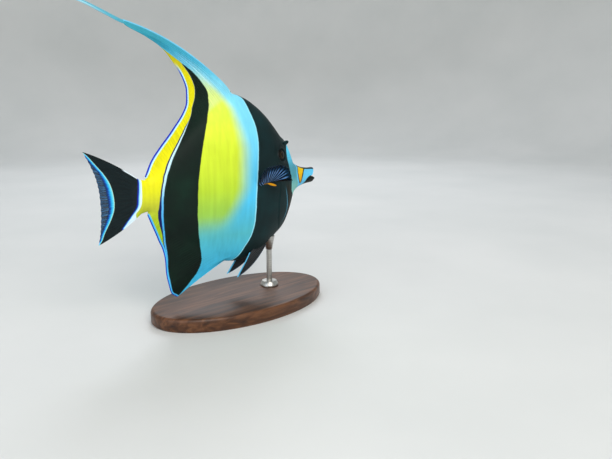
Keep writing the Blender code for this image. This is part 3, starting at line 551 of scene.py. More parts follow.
    layers = [
        (opposite(tree, past_edge(tree, along, up, TAIL_LINE_FRONT, 0.25)), "#d4ecfc"),
        (past_edge(tree, ragged, up, BAR_REAR, 0.22, curve_value(tree, up, BLUE_LINE_WIDTH)), "#0a1458"),
        (past_edge(tree, ragged, up, BAR_REAR, 0.22, curve_value(tree, up, WHITE_LINE_WIDTH)), white_line),
        (past_edge(tree, ragged, up, BAR_REAR), rear_black),
        (past_edge(tree, ragged, up, BAR_FRONT), middle),
        (past_edge(tree, ragged, up, HEAD_BAR_REAR, 0.5, 0.9), "#9ceaff"),
        (past_edge(tree, ragged, up, HEAD_BAR_REAR), black),
        (brown, "#231e13"),
        (chest_line, "#56a0c0"),
        (axil_line, "#8a6210"),
        (axil, "#f0a400"),
        (nape, "#9fb6dc"),
        (past_edge(tree, along, up, FACE_EDGE), face),
        (past_edge(tree, along, up, SADDLE_REAR, 0.6, 2.9), "#64c8f2"),
        (masked(tree, band_start, band_end, above_tip), "#0a0c0e"),
        (masked(tree, wedge_start, wedge_end, above_tip), saddle),
        (snout_line, "#0c0d10"),
        (masked(tree, jaw, within(tree, along, 134.6, 200.0, 0.5)), "#111813"),
    ]
    coat = layered(tree, rear, layers)
    # Soft upright streaks make the coat a little lighter and darker
    upright = add(tree, "Mapping", {"Scale": (0.42, 0.42, 0.022)}, {"Vector": whole})
    rows = add(tree, "TexNoise", {"Scale": 1.0, "Detail": 2.0}, {"Vector": upright})
    uneven = add(tree, "Math", {"operation": "ADD"}, {0: tone, 1: rows})
    shade = add(tree, "MapRange", {1: 0.7, 2: 1.3, 3: 0.9, 4: 1.06}, {0: uneven})
    settings = {"data_type": "RGBA", "blend_type": "MULTIPLY", 0: 1.0}
    return add(tree, "Mix", settings, {6: coat, 7: shade}).outputs[2]


def scaled_surface(tree, whole):
    """The relief and the roughness of skin covered in minute scales, as sockets."""
    # The real scales are 0.3 mm. They are drawn 0.75 mm wide, so that they show
    scales = add(tree, "TexVoronoi", {"feature": "DISTANCE_TO_EDGE", "Scale": 1 / 0.75}, {"Vector": whole})
    grain = add(tree, "TexNoise", {"Scale": 2.4, "Detail": 3.0}, {"Vector": whole})
    relief = add(tree, "Math", {"operation": "ADD"}, {0: scales, 1: grain})
    return relief, add(tree, "MapRange", {3: 0.46, 4: 0.62}, {0: grain})


def skin_finish():
    """Painted resin cast of fish skin, satin varnished. Minute scales break up its sheen."""
    made, tree, shader = new_material("varnished_fish_skin")
    spot = fish_place(tree)
    coat = markings(tree, spot)
    relief, gloss = scaled_surface(tree, spot[0])
    bump = add(tree, "Bump", SKIN_RELIEF, {"Height": relief})
    values = {"IOR": 1.45, "Specular IOR Level": 0.22}
    dress(tree, shader, values, {"Base Color": coat, "Roughness": gloss, "Normal": bump})
    return made


def ray_sockets(tree):
    """Sockets of a fin's own map: the number of the ray and the millimetres left to the fin's margin."""
    rays = add(tree, "UVMap", {"uv_map": "rays"})
    parts = add(tree, "SeparateXYZ", links={0: rays}).outputs
    return rays, parts[0], parts[1]


def median_fin_finish():
    """Dried and painted fin membrane: satin, with streaks along the rays and a bright margin edged in blue.
    At its root it has the scales and the sheen of the skin, so that no seam shows."""
    made, tree, shader = new_material("painted_fin_membrane")
    spot = fish_place(tree)
    whole, along, _, up = spot
    rays, number, left = ray_sockets(tree)
    coat = markings(tree, spot)
    over_back = add(tree, "Math", {"operation": "SUBTRACT"}, {0: up, 1: curve_value(tree, along, BACK)})
    under_belly = add(tree, "Math", {"operation": "SUBTRACT"}, {0: curve_value(tree, along, BELLY), 1: up})
    off_body = add(tree, "Math", {"operation": "MAXIMUM"}, {0: over_back, 1: under_belly})
    settings = {"interpolation_type": "SMOOTHSTEP", 1: -3.5, 2: 4.0}
    free = add(tree, "MapRange", settings, {0: off_body})
    # Streaks half a ray wide run along the rays and fade on the flank
    stretch = add(tree, "Mapping", {"Scale": (2.2, 0.035, 1.0)}, {"Vector": rays})
    streaks = add(tree, "TexNoise", {"Scale": 1.0, "Detail": 3.0, "Roughness": 0.65}, {"Vector": stretch})
    light = add(tree, "MapRange", {1: 0.35, 2: 0.7, 3: 0.8, 4: 1.12}, {0: streaks})
    settings = {"data_type": "RGBA", "blend_type": "MULTIPLY"}
    streaked = add(tree, "Mix", settings, {0: free, 6: coat, 7: light}).outputs[2]
    # Whiter threads run through the high pennant
    thin = add(tree, "Mapping", {"Scale": (5.0, 0.02, 1.0)}, {"Vector": rays})
    threads = add(tree, "TexNoise", {"Scale": 1.0, "Detail": 2.0}, {"Vector": thin})
    bright = add(tree, "MapRange", {1: 0.52, 2: 0.64, 4: 0.75}, {0: threads})
    dim = add(tree, "MapRange", {1: 0.5, 2: 0.38, 4: 0.7}, {0: threads})
    clear_of_bar = past_edge(tree, along, up, BAR_FRONT, 0.4, -0.6)
    near_bar = opposite(tree, past_edge(tree, along, up, BAR_FRONT, 3.0, -9.0))
    high = masked(tree, within(tree, up, 66.0, 84.0, 4.0), clear_of_bar, near_bar)
    higher = masked(tree, within(tree, up, 74.0, 120.0, 6.0), clear_of_bar)
    # The pennant's leading edge is a bright line
    lead = add(tree, "MapRange", {1: 1.1, 2: 0.4, 4: 0.85}, {0: number})
    off_back = add(tree, "MapRange", {1: 62.0, 2: 84.0}, {0: up})
    # The margin behind the bars
    rear_part = within(tree, up, -72.0, 76.0, 4.0)
    upper = add(tree, "MapRange", {1: -5.0, 2: 5.0}, {0: up})
    rim_end = add(tree, "MapRange", {3: 0.5, 4: 0.66}, {0: upper})
    past_rim = add(tree, "Math", {"operation": "SUBTRACT"}, {0: left, 1: rim_end})
    edge = add(tree, "MapRange", {1: 0.95, 2: 0.6}, {0: past_rim})
    bright_edge = add(tree, "ValToRGB", {}, {0: upper}, ((0.0, "#46b8f0"), (1.0, "#b4e8fc")))
    rim = add(tree, "MapRange", {1: 0.15, 2: -0.15}, {0: past_rim})
    layers = [
        (masked(tree, dim, higher), "#2c8898"),
        (masked(tree, bright, high), "#ccf0fc"),
        (masked(tree, lead, off_back), "#7cd2f8"),
        (masked(tree, edge, rear_part), bright_edge),
        (masked(tree, rim, rear_part), "#0a26b4"),
    ]
    colour = layered(tree, streaked, layers)
    relief, gloss = scaled_surface(tree, whole)
    surface = add(tree, "Mix", {}, {0: free, 2: relief, 3: streaks})
    bump = add(tree, "Bump", SKIN_RELIEF, {"Height": surface})
    values = {"IOR": 1.45, "Specular IOR Level": 0.22}
    dress(tree, shader, values, {"Base Color": colour, "Roughness": gloss, "Normal": bump})
    return made


def tail_finish():
    """Black tail membrane with a bright crescent line. Behind it the margin is clear and finely rayed."""
    made, tree, shader = new_material("painted_tail_membrane")
    _, along, _, up = fish_place(tree)
    rays, number, _ = ray_sockets(tree)
    line_at = curve_value(tree, up, TAIL_CRESCENT)
    behind = add(tree, "Math", {"operation": "SUBTRACT"}, {0: line_at, 1: along})
    width = curve_value(tree, up, TAIL_CRESCENT_WIDTH)
    split = add(tree, "Mapping", {"Scale": (3.2, 0.05, 1.0)}, {"Vector": rays})
    fine = add(tree, "TexNoise", {"Scale": 1.6, "Detail": 3.0, "Roughness": 0.7}, {"Vector": split})
    # The crescent is nearly white in front and darkens to blue behind, where the rays comb it out
    comb = add(tree, "MapRange", {1: 0.35, 2: 0.65, 3: -0.2, 4: 0.2}, {0: fine})
    share = add(tree, "Math", {"operation": "DIVIDE"}, {0: behind, 1: width})
    combed = add(tree, "Math", {"operation": "MULTIPLY_ADD"}, {0: comb, 1: share, 2: share})
    stops = (
        (0.0, "#d8e8c0"), (0.08, "#7ee4f4"), (0.34, "#30c0ee"), (0.54, "#1c82da"), (0.74, "#153e96"),
        (1.0, "#122a50"),
    )
    crescent = add(tree, "ValToRGB", {}, {0: combed}, stops)
    settings = {"interpolation_type": "SMOOTHSTEP", 1: -0.25, 2: 0.25}
    on_line = add(tree, "MapRange", settings, {0: behind})
    clear = add(tree, "MapRange", {"interpolation_type": "SMOOTHSTEP", 1: 0.85, 2: 1.15}, {0: share})
    stops = ((0.34, "#0e1c2a"), (0.5, "#1c3c5a"), (0.66, "#4c7ca8"))
    margin = add(tree, "ValToRGB", {}, {0: fine}, stops)
    membrane = add(tree, "ValToRGB", {}, {0: fine}, ((0.3, "#071012"), (0.7, "#0e2024")))
    # Fine lines follow the fin's upper and lower edges near its root
    top = masked(
        tree,
        add(tree, "MapRange", {1: 0.55, 2: 0.25}, {0: number}),
        within(tree, along, -10.5, 3.0, 1.5),
    )
    low = masked(
        tree,
        add(tree, "MapRange", {1: 17.3, 2: 17.6}, {0: number}),
        within(tree, along, -11.0, 3.0, 2.0),
    )
    layers = [
        (top, "#e4f4ff"),
        (low, "#2fa6bc"),
        (past_edge(tree, along, up, TAIL_LINE_REAR, 0.25, 0.85), "#0a1c9c"),
        (past_edge(tree, along, up, TAIL_LINE_REAR, 0.25), "#7cd4fc"),
        (past_edge(tree, along, up, TAIL_LINE_REAR, 0.35, -0.6), "#d4ecfc"),
        (past_edge(tree, along, up, TAIL_LINE_FRONT, 0.25), rear_yellow(tree, up)),
        (on_line, crescent),
        (clear, margin),
    ]
    colour = layered(tree, membrane, layers)
    thin = add(tree, "MapRange", {1: 0.35, 2: 0.6, 3: 0.7, 4: 0.95}, {0: fine})
    cover = add(tree, "Mix", {2: 1.0}, {0: clear, 3: thin})
    bump = add(tree, "Bump", SKIN_RELIEF, {"Height": fine})
    values = {"IOR": 1.45, "Roughness": 0.45, "Specular IOR Level": 0.22}
    dress(tree, shader, values, {"Base Color": colour, "Alpha": cover, "Normal": bump})
    return made


def pectoral_finish():
    """Smoky, half clear membrane between pale blue rays, with a dark leading edge."""
    made, tree, shader = new_material("clear_pectoral_membrane")
    rays, number, left = ray_sockets(tree)
    wave = add(tree, "Math", {"operation": "PINGPONG", 1: 0.5}, {0: number})
    settings = {"interpolation_type": "SMOOTHSTEP", 1: 0.3, 2: 0.08}
    on_ray = add(tree, "MapRange", settings, {0: wave})
    stretch = add(tree, "Mapping", {"Scale": (0.7, 0.06, 1.0)}, {"Vector": rays})
    uneven = add(tree, "TexNoise", {"Scale": 1.5, "Detail": 2.0}, {"Vector": stretch})
    strength = add(tree, "MapRange", {1: 0.3, 2: 0.6, 3: 0.55, 4: 1.0}, {0: uneven})
    settings = {"interpolation_type": "SMOOTHSTEP", 1: 0.5, 2: 6.5}
    reach = add(tree, "MapRange", settings, {0: left})
    glow = masked(tree, on_ray, reach, strength)
    stops = ((0.0, "#081c30"), (0.4, "#204e7c"), (1.0, "#7cacea"))
    bright = add(tree, "ValToRGB", {}, {0: glow}, stops)
    lead = add(tree, "MapRange", {1: 0.8, 2: 0.4}, {0: number})
    colour = layered(tree, bright, [(lead, "#070c14")])
    cover = add(tree, "MapRange", {1: 0.0, 2: 0.6, 3: 0.72, 4: 0.97}, {0: glow})
    bump = add(tree, "Bump", SKIN_RELIEF, {"Height": on_ray})
    values = {"IOR": 1.45, "Roughness": 0.4, "Specular IOR Level": 0.22}
    dress(tree, shader, values, {"Base Color": colour, "Alpha": cover, "Normal": bump})
    return made


def pelvic_finish():
    """Black folded membrane with a light blue line along its margin."""
    made, tree, shader = new_material("painted_pelvic_membrane")
    rays, number, left = ray_sockets(tree)
    stretch = add(tree, "Mapping", {"Scale": (2.0, 0.05, 1.0)}, {"Vector": rays})
    fine = add(tree, "TexNoise", {"Scale": 1.6, "Detail": 3.0}, {"Vector": stretch})
    ramp = add(tree, "ValToRGB", {}, {0: fine}, ((0.35, "#05080b"), (0.7, "#121b22")))
    front = add(tree, "MapRange", {1: 0.24, 2: 0.12}, {0: number})
    rear = add(tree, "MapRange", {1: 1.0, 2: 0.7}, {0: left})
    colour = layered(tree, ramp, [(front, "#1c4468"), (rear, "#4cb4e0")])
    bump = add(tree, "Bump", SKIN_RELIEF, {"Height": fine})
    values = {"IOR": 1.45, "Roughness": 0.4}
    dress(tree, shader, values, {"Base Color": colour, "Normal": bump})
    return made


def streamer_finish():
    """The painted thread of the streamer: pale blue, with whiter strands along it."""
    made, tree, shader = new_material("painted_streamer_thread")
    rays = ray_sockets(tree)[0]
    stretch = add(tree, "Mapping", {"Scale": (3.0, 0.03, 1.0)}, {"Vector": rays})
    strands = add(tree, "TexNoise", {"Scale": 1.4, "Detail": 3.0}, {"Vector": stretch})
    ramp = add(tree, "ValToRGB", {}, {0: strands}, ((0.3, "#459fbc"), (0.5, "#68bcd8"), (0.66, "#b8e6f4")))
    along = fish_place(tree)[1]
    near_fin = add(tree, "MapRange", {1: -38.0, 2: -6.0, 4: 0.9}, {0: along})
    colour = layered(tree, ramp, [(near_fin, "#409eb4")])
    bump = add(tree, "Bump", {"Strength": 0.3, "Distance": 0.08 * MM}, {"Height": strands})
    values = {"IOR": 1.45, "Roughness": 0.45}
    dress(tree, shader, values, {"Base Color": colour, "Normal": bump})
    return made


def lining_finish():
    """The dark lining of the mouth: moist, brown-black."""
    made, tree, shader = new_material("painted_mouth_lining")
    whole = fish_place(tree)[0]
    mottle = add(tree, "TexNoise", {"Scale": 1.2, "Detail": 3.0}, {"Vector": whole})
    tint = add(tree, "ValToRGB", {}, {0: mottle}, ((0.3, "#140d0c"), (0.7, "#2a1a17")))
    values = {"Roughness": 0.35}
    dress(tree, shader, values, {"Base Color": tint})
    return made


def eye_finish():
    """A cast acrylic eye: black pupil, nearly black iris and a thin gold ring under a thin glassy coat."""
    made, tree, shader = new_material("cast_acrylic_eye")
    rays, across, up = ray_sockets(tree)
    distance = add(tree, "VectorMath", {"operation": "LENGTH"}, {0: rays}).outputs["Value"]
    angle = add(tree, "Math", {"operation": "ARCTAN2"}, {0: up, 1: across})
    polar = add(tree, "CombineXYZ", links={0: angle, 1: distance})
    stretch = add(tree, "Mapping", {"Scale": (9.0, 0.6, 1.0)}, {"Vector": polar})
    fibres = add(tree, "TexNoise", {"Scale": 1.5, "Detail": 4.0}, {"Vector": stretch})
    iris = add(tree, "ValToRGB", {}, {0: fibres}, ((0.3, "#040404"), (0.55, "#0a0806"), (0.72, "#140e0a")))
    layers = [
        (within(tree, distance, 1.8, 2.0, 0.12), "#5c4824"),
        (add(tree, "MapRange", {1: 1.85, 2: 1.7}, {0: distance}), "#020202"),
        (add(tree, "MapRange", {1: 3.3, 2: 3.8}, {0: distance}), "#070707"),
    ]
    colour = layered(tree, iris, layers)
    values = {
        "IOR": 1.49,
        "Roughness": 0.3,
        "Specular IOR Level": 0.12,
        "Coat Weight": 0.12,
        "Coat Roughness": 0.03,
    }
    dress(tree, shader, values, {"Base Color": colour})
    return made


def wood_finish():
    """Turned walnut under satin lacquer: long dark grain with fine pores and a soft sheen."""
    made, tree, shader = new_material("lacquered_walnut")
    where = add(tree, "TexCoord").outputs["Object"]
    # Growth rings about 4 mm apart, drawn out twelve times along the board
    board = add(tree, "Mapping", {"Scale": (20.0, 240.0, 240.0)}, {"Vector": where})
    rings = add(tree, "TexNoise", {"Scale": 1.0, "Detail": 5.0, "Distortion": 0.6}, {"Vector": board})
    pore_place = add(tree, "Mapping", {"Scale": (160.0, 2600.0, 2600.0)}, {"Vector": where})
    pores = add(tree, "TexNoise", {"Scale": 1.0, "Detail": 2.0}, {"Vector": pore_place})
    stops = ((0.3, "#2e1a10"), (0.48, "#4c2e1b"), (0.62, "#68432a"), (0.78, "#3c2315"))
    grain = add(tree, "ValToRGB", {}, {0: rings}, stops)
    dark = add(tree, "MapRange", {1: 0.62, 2: 0.72, 4: 0.6}, {0: pores})
    colour = layered(tree, grain, [(dark, "#1d100a")])
    bump = add(tree, "Bump", {"Strength": 0.12, "Distance": 0.1 * MM}, {"Height": pores})
    values = {
        "IOR": 1.5, "Roughness": 0.45, "Specular IOR Level": 0.3, "Coat Weight": 0.12, "Coat Roughness": 0.25
    }
    dress(tree, shader, values, {"Base Color": colour, "Normal": bump})
    return made


def steel_finish():
    """Turned and brushed stainless steel: fine rings round the rod spread the highlights."""
    made, tree, shader = new_material("brushed_stainless_steel")
    where = add(tree, "TexCoord").outputs["Object"]
    # Brush marks are 0.05 mm. They are drawn 0.25 mm high, so that they show
    marks = add(tree, "Mapping", {"Scale": (120.0, 120.0, 4000.0)}, {"Vector": where})
    lines = add(tree, "TexNoise", {"Scale": 1.0, "Detail": 3.0}, {"Vector": marks})
    tint = add(tree, "ValToRGB", {}, {0: lines}, ((0.35, "#a9a8a4"), (0.65, "#cbc9c4")))
    gloss = add(tree, "MapRange", {3: 0.24, 4: 0.4}, {0: lines})
    bump = add(tree, "Bump", {"Strength": 0.15, "Distance": 0.02 * MM}, {"Height": lines})
    values = {"Metallic": 1.0}
    dress(tree, shader, values, {"Base Color": tint, "Roughness": gloss, "Normal": bump})
    return made


def floor_finish():
    """Matt painted studio floor, pale and faintly mottled."""
    made, tree, shader = new_material("matt_studio_paint")
    where = add(tree, "TexCoord").outputs["Object"]
    mottle = add(tree, "TexNoise", {"Scale": 6.0, "Detail": 4.0}, {"Vector": where})
    tint = add(tree, "ValToRGB", {}, {0: mottle}, ((0.3, "#d2d4d3"), (0.7, "#dadbda")))
    values = {"Roughness": 0.8}
    dress(tree, shader, values, {"Base Color": tint})
    return made


# The skin

def outward(spot, side):
    """The way the flank faces at a spot of the side view: a unit vector out of the fish."""
    step = 1 * MM
    along = (flank(spot.x + step, spot.z) - flank(spot.x - step, spot.z)) / (2 * step)
    up = (flank(spot.x, spot.z + step) - flank(spot.x, spot.z - step)) / (2 * step)
    return Vector((-along, side, -up)).normalized()


def on_flank(spot, side):
    """A spot of the side view, out on the skin of that side."""
    return Vector((spot.x, side * flank(spot.x, spot.z), spot.z))


def turned(spot, facing):
    """A frame at the spot whose Z looks along facing."""
    return Matrix.Translation(spot) @ facing.to_track_quat("Z", "Y").to_matrix().to_4x4()


EYE_SPOTS = {side: on_flank(EYE, side) for side in (-1, 1)}
NOSTRIL_SPOTS = [on_flank(Vector((x, 0, z)) * MM, side) for side in (-1, 1) for x, z in NOSTRILS]


def skin_relief(spot):
    """How far the skin stands out, in millimetres: orbits, nostrils, gill flap, cheek and mouth crease."""
    x, z = spot.x / MM, spot.z / MM
    if x < 92:
        return 0.0
    side = -1 if spot.y < 0 else 1
    rise = 0.0
    away = (spot - EYE_SPOTS[side]).length / MM
    if away < 11:
        rise += 0.7 * swell(away - 4.75, 0.75) + 0.22 * swell(away - 6.3, 1.6)
        rise -= 3.4 * (1 - eased(3.3, 4.15, away))
    for nostril in NOSTRIL_SPOTS:
        away = (spot - nostril).length / MM
        if away < 3:
            rise += 0.16 * swell(away - 1.0, 0.35) - 0.75 * swell(away, 0.55)
    if 92 < x < 124 and -42 < z < 26:
        ahead = x - gill_edge(z)
        fade = eased(-40, -30, z) * (1 - eased(9, 20, z))
        flap = 0.34 * eased(-0.7, 0.7, ahead) * math.exp(-max(0.0, ahead) / 5.5)
        rise += fade * (flap - 0.16 * swell(ahead + 0.7, 0.7))
        cheek = x - cheek_edge(z)
        fade = eased(-28, -20, z) * (1 - eased(6, 14, z))
        rise += fade * 0.16 * swell(cheek, 0.8)
    if x > 135:
        run = Vector(MOUTH_CORNER) - Vector(JAW_LINE)
        off = (Vector((x, z)) - Vector(JAW_LINE)).cross(run.normalized())
        rise -= 0.5 * swell(off, 0.32) * eased(136.5, 139, x) * (1 - eased(143.5, 144.5, x))
    return rise


def make_skin(material, lining):
    """The whole fish without fins, as one closed skin."""
    spans = ((0, 92, 1.15), (92, 98, 0.75), (98, 122, 0.5), (122, 140, 0.6), (140, 150, 0.5))
    stations = []
    for low, high, step in spans:
        count = round((high - low) / step)
        stations += [(low + (high - low) * i / count) * MM for i in range(count)]
    stations.append(spans[-1][1] * MM)
    columns, around = len(stations) - 1, 168
    shape = bmesh.new()
    bmesh.ops.create_grid(shape, x_segments=columns, y_segments=around, size=0.5)
    for vert in shape.verts:
        x = stations[round((vert.co.x + 0.5) * columns)]
        turn = round((vert.co.y + 0.5) * around) % around
        angle = 2 * math.pi * turn / around
        top, bottom = back_height(x / MM) * MM, belly_height(x / MM) * MM
        height = (top + bottom) / 2 + (top - bottom) / 2 * math.cos(angle)
        side = flank(x, height) if turn not in (0, around // 2) else 0.0
        vert.co = Vector((x, side * (1 if turn < around / 2 else -1), height))
    bmesh.ops.remove_doubles(shape, verts=shape.verts, dist=0.0005 * MM)
    bmesh.ops.holes_fill(shape, edges=[edge for edge in shape.edges if edge.is_boundary], sides=0)
    # Finer faces where the eyes and nostrils are
    for reach, small_reach in ((9.5, 2.6), (8.0, 2.2)):
        reaches = (reach * MM, small_reach * MM)
        fine = [face for face in shape.faces if near_details(face.calc_center_median(), *reaches)]
        edges = {edge for face in fine for edge in face.edges}
        made = bmesh.ops.subdivide_edges(shape, edges=list(edges), cuts=1, use_grid_fill=True)["geom_inner"]
        for vert in made:
            if isinstance(vert, bmesh.types.BMVert):
                vert.co = on_flank(vert.co, -1 if vert.co.y < 0 else 1)
    bmesh.ops.triangulate(shape, faces=[face for face in shape.faces if len(face.verts) > 4])
    bmesh.ops.recalc_face_normals(shape, faces=shape.faces)
    shape.normal_update()
    lifts = [(vert, vert.normal.copy(), skin_relief(vert.co)) for vert in shape.verts]
    for vert, normal, lift in lifts:
        vert.co += normal * lift * MM
    skin = place("skin", shape, 60)
    skin.data.materials.append(material)
    cutter = mouth_cutter()
    cutter.data.materials.append(material)
    cutter.data.materials.append(lining)
    for face in cutter.data.polygons:
        face.material_index = 1
    skin.data.materials.append(lining)
    cut_or_join(skin, cutter, "DIFFERENCE")
    for lip in (make_lip("upper", UPPER_LIP_END, 0.3), make_lip("lower", LOWER_LIP_END, -0.45)):
        lip.data.materials.append(material)
        cut_or_join(skin, lip, "UNION")
    return skin


def near_details(spot, reach, small_reach):
    """Whether a spot is close to an eye or a nostril."""
    side = -1 if spot.y < 0 else 1
    if (spot - EYE_SPOTS[side]).length < reach:
        return True
    return any((spot - nostril).length < small_reach for nostril in NOSTRIL_SPOTS)


def mouth_cutter():
    """The open wedge between the upper jaw's slanted front and the lower jaw's top."""
    ahead = ((147.5, -5.2), (156, -5.2), (156, 12), (152, 12))
    outline = (MOUTH_CORNER, *LOWER_TOP, *ahead, UPPER_FRONT)
    shape = bmesh.new()
    face = shape.faces.new([shape.verts.new((x * MM, -8 * MM, z * MM)) for x, z in outline])
    made = bmesh.ops.extrude_face_region(shape, geom=[face])["geom"]
    bmesh.ops.translate(
        shape, vec=(0, 16 * MM, 0), verts=[v for v in made if isinstance(v, bmesh.types.BMVert)]
    )
    bmesh.ops.recalc_face_normals(shape, faces=shape.faces)
    return place("mouth", shape)


def make_lip(name, end, lift):
    """A soft lip round a jaw's front edge, thinner towards the corners of the mouth."""
    start = Vector(MOUTH_CORNER)
    edge = [start.lerp(Vector(end), 0.06 + 0.9 * i / 11) for i in range(12)]
    side = [Vector((x * MM, flank(x * MM, z * MM), (z + lift) * MM)) for x, z in edge]
    path = [*side, Vector((end[0] * MM, 0, (end[1] + lift) * MM))]
    path += [Vector((spot.x, -spot.y, spot.z)) for spot in reversed(side)]
    curve = bpy.data.curves.new(name, "CURVE")
    curve.dimensions = "3D"
    curve.bevel_depth = 0.6 * MM
    curve.bevel_resolution = 5
    curve.use_fill_caps = True
    line = curve.splines.new("POLY")
    line.points.add(len(path) - 1)
    for i, (point, spot) in enumerate(zip(line.points, path)):
        point.co = (*spot, 1)
        point.radius = 0.55 + 0.5 * math.sin(math.pi * i / (len(path) - 1)) ** 0.6
    drawn = bpy.data.objects.new(name + "_curve", curve)
    bpy.context.scene.collection.objects.link(drawn)
    bpy.context.view_layer.update()
    mesh = bpy.data.meshes.new_from_object(drawn.evaluated_get(bpy.context.evaluated_depsgraph_get()))
    bpy.data.objects.remove(drawn)
    shape = bmesh.new()
    shape.from_mesh(mesh)
    bmesh.ops.remove_doubles(shape, verts=shape.verts, dist=0.005 * MM)
    bmesh.ops.recalc_face_normals(shape, faces=shape.faces)
    return place(name + "_lip", shape)


def make_eye(name, side):
    """A flattened, glossy ball that looks out of its orbit."""
    facing = outward(EYE, side)
    middle = on_flank(EYE, side) + facing * (EYE_PROUD - EYE_DEPTH)
    shape = bmesh.new()
    bmesh.ops.create_uvsphere(shape, u_segments=64, v_segments=40, radius=1)
    rays = shape.loops.layers.uv.new("rays")
    bmesh.ops.scale(shape, vec=(EYE_RADIUS, EYE_RADIUS, EYE_DEPTH), verts=shape.verts)
    for face in shape.faces:
        for loop in face.loops:
            loop[rays].uv = loop.vert.co.xy / MM
    bmesh.ops.transform(shape, matrix=turned(middle, facing), verts=shape.verts)
    return place(name, shape)


def make_horn(name, side):
    """The blunt bony knob ahead of an eye, leaning forward and out, with a soft foot on the skin."""
    facing = Vector((0.84, side * 0.33, 0.43)).normalized()
    outline = (
        (2.6, -2.2), (2.05, -1.5), (1.75, -0.7), (1.5, 0.3), (1.2, 1.3), (0.85, 2.0), (0.42, 2.38),
        (0.0, 2.5),
    )
    shape = lathed(outline, 32)
    bmesh.ops.holes_fill(shape, edges=[edge for edge in shape.edges if edge.is_boundary], sides=0)
    bmesh.ops.recalc_face_normals(shape, faces=shape.faces)
    bmesh.ops.transform(
        shape, matrix=turned(on_flank(HORN, side) + facing * 0.6 * MM, facing), verts=shape.verts
    )
    return place(name, shape)


# The fins

def spread(tips):
    """The margin of a fin, from its tip points, as a function of how far along the root the ray starts."""
    if len(tips[0]) == 3:
        tips = [(share, x, 0, z) for share, x, z in tips]
    lines = [through([(tip[0], tip[axis]) for tip in tips]) for axis in (1, 2, 3)]
    return lambda share: Vector([line(share) for line in lines]) * MM


def bowed(start, end, bow, share):
    """A point on a ray that bends evenly off the line from its start to its end, in the side view."""
    straight = end - start
    off = Vector((straight.z, 0, -straight.x)).normalized()
    return start + straight * share + off * (4 * bow * share * (1 - share))


def inside_root(edge_height, ends, share, inward):
    """Where a ray of a middle fin starts: 3 mm under the body's edge."""
    x = ends[0] + (ends[1] - ends[0]) * share
    slope = (edge_height(x + 0.5) - edge_height(x - 0.5)) / 1.0
    off = Vector((-slope, 0, 1)).normalized() * inward
    return Vector((x, 0, edge_height(x))) * MM + off * 3 * MM


def make_membrane(name, surface, half, ray_count, per_ray, rows, extras=()):
    """A thin closed fin. surface(u, v) gives its middle, with u across the rays and v out along them, and
    half(u, v, spot) half its thickness. Its map holds the ray's number and the distance to the margin."""
    columns = ray_count * per_ray
    middles = [[surface(i / columns, j / rows) for j in range(rows + 1)] for i in range(columns + 1)]
    margin = KDTree(columns + 1)
    for i in range(columns + 1):
        margin.insert(middles[i][rows], i)
    margin.balance()
    shape = bmesh.new()
    bmesh.ops.create_grid(shape, x_segments=columns, y_segments=rows, size=0.5)
    twin = bmesh.ops.duplicate(shape, geom=[*shape.verts, *shape.edges, *shape.faces])
    far_side = {vert for vert in twin["geom"] if isinstance(vert, bmesh.types.BMVert)}
    marks = {}
    for vert in shape.verts:
        i, j = round((vert.co.x + 0.5) * columns), round((vert.co.y + 0.5) * rows)
        across = middles[min(i + 1, columns)][j] - middles[max(i - 1, 0)][j]
        along = middles[i][min(j + 1, rows)] - middles[i][max(j - 1, 0)]
        facing = across.cross(along).normalized()
        spot = middles[i][j]
        marks[vert] = (i / per_ray, margin.find(spot)[2] / MM)
        thick = half(i / columns, j / rows, spot)
        vert.co = spot + facing * (-thick if vert in far_side else thick)
    bmesh.ops.bridge_loops(shape, edges=[edge for edge in shape.edges if edge.is_boundary])
    rays = shape.loops.layers.uv.new("rays")
    for face in shape.faces:
        for loop in face.loops:
            loop[rays].uv = marks[loop.vert]
    for extra in extras:
        added = extra(shape)
        for vert in added:
            for loop in vert.link_loops:
                loop[rays].uv = (0.5, 20.0)
    bmesh.ops.recalc_face_normals(shape, faces=shape.faces)
    return place(name, shape, 75)


def ridge(u, v, ray_count, split_from=0.55):
    """The rounded relief of the rays, 0 to 1 across each ray. Towards the margin every ray splits in two."""
    turn = 2 * math.pi * u * ray_count
    whole = 0.5 + 0.5 * math.cos(turn)
    halves = 0.5 + 0.5 * math.cos(2 * turn)
    share = eased(split_from, split_from + 0.25, v)
    return whole * (1 - share) + halves * 0.7 * share


def hollow(edge_height, spot):
    """How far a spot lies over the body's edge, how deep under it a fin leaves the flank there, and half the
    thickness of the hollow curve that goes on from the flank, in millimetres."""
    x, inward = spot.x / MM, 1 if edge_height is belly_height else -1
    edge = edge_height(x)
    depth = min(5.0, 0.15 * (back_height(x) - belly_height(x)))
    depths = (depth, depth - 0.3, depth + 0.3)
    leaves, near, far = [flank(spot.x, (edge + inward * below) * MM) / MM for below in depths]
    over = (edge - spot.z / MM) * inward
    reach = leaves * 0.6 / (far - near)
    return over, depth, leaves * math.exp(-(over + depth) / reach)


def median_half(u, v, spot, ray_count, length, edge_height, lead):
    """Half the thickness of a dorsal or anal fin: it flows out of the flank and thins towards its margin."""
    over, depth, curve = hollow(edge_height, spot)
    rays = 0.17 * ridge(u, v, ray_count) * eased(0, 6, over)
    sheet = 0.24 + rays + lead * swell(u * ray_count, 0.8) * (1 - 0.6 * v)
    rim = 1 - 0.62 * eased(length - 1.0 * MM, length, v * length)
    body_side = flank(spot.x, spot.z) / MM
    if over < -depth:
        return (body_side - 0.12 * eased(0, 1.5, -depth - over)) * MM
    # Towards the fin's first and last ray the hollow curve dies away
    share = eased(0.0, 0.07, u) * (1 - eased(0.94, 1.0, u))
    plain = blended_max(body_side, sheet, 0.9)
    flowing = curve + sheet * eased(-depth, 4, over)
    return (plain + (flowing - plain) * share) * rim * MM


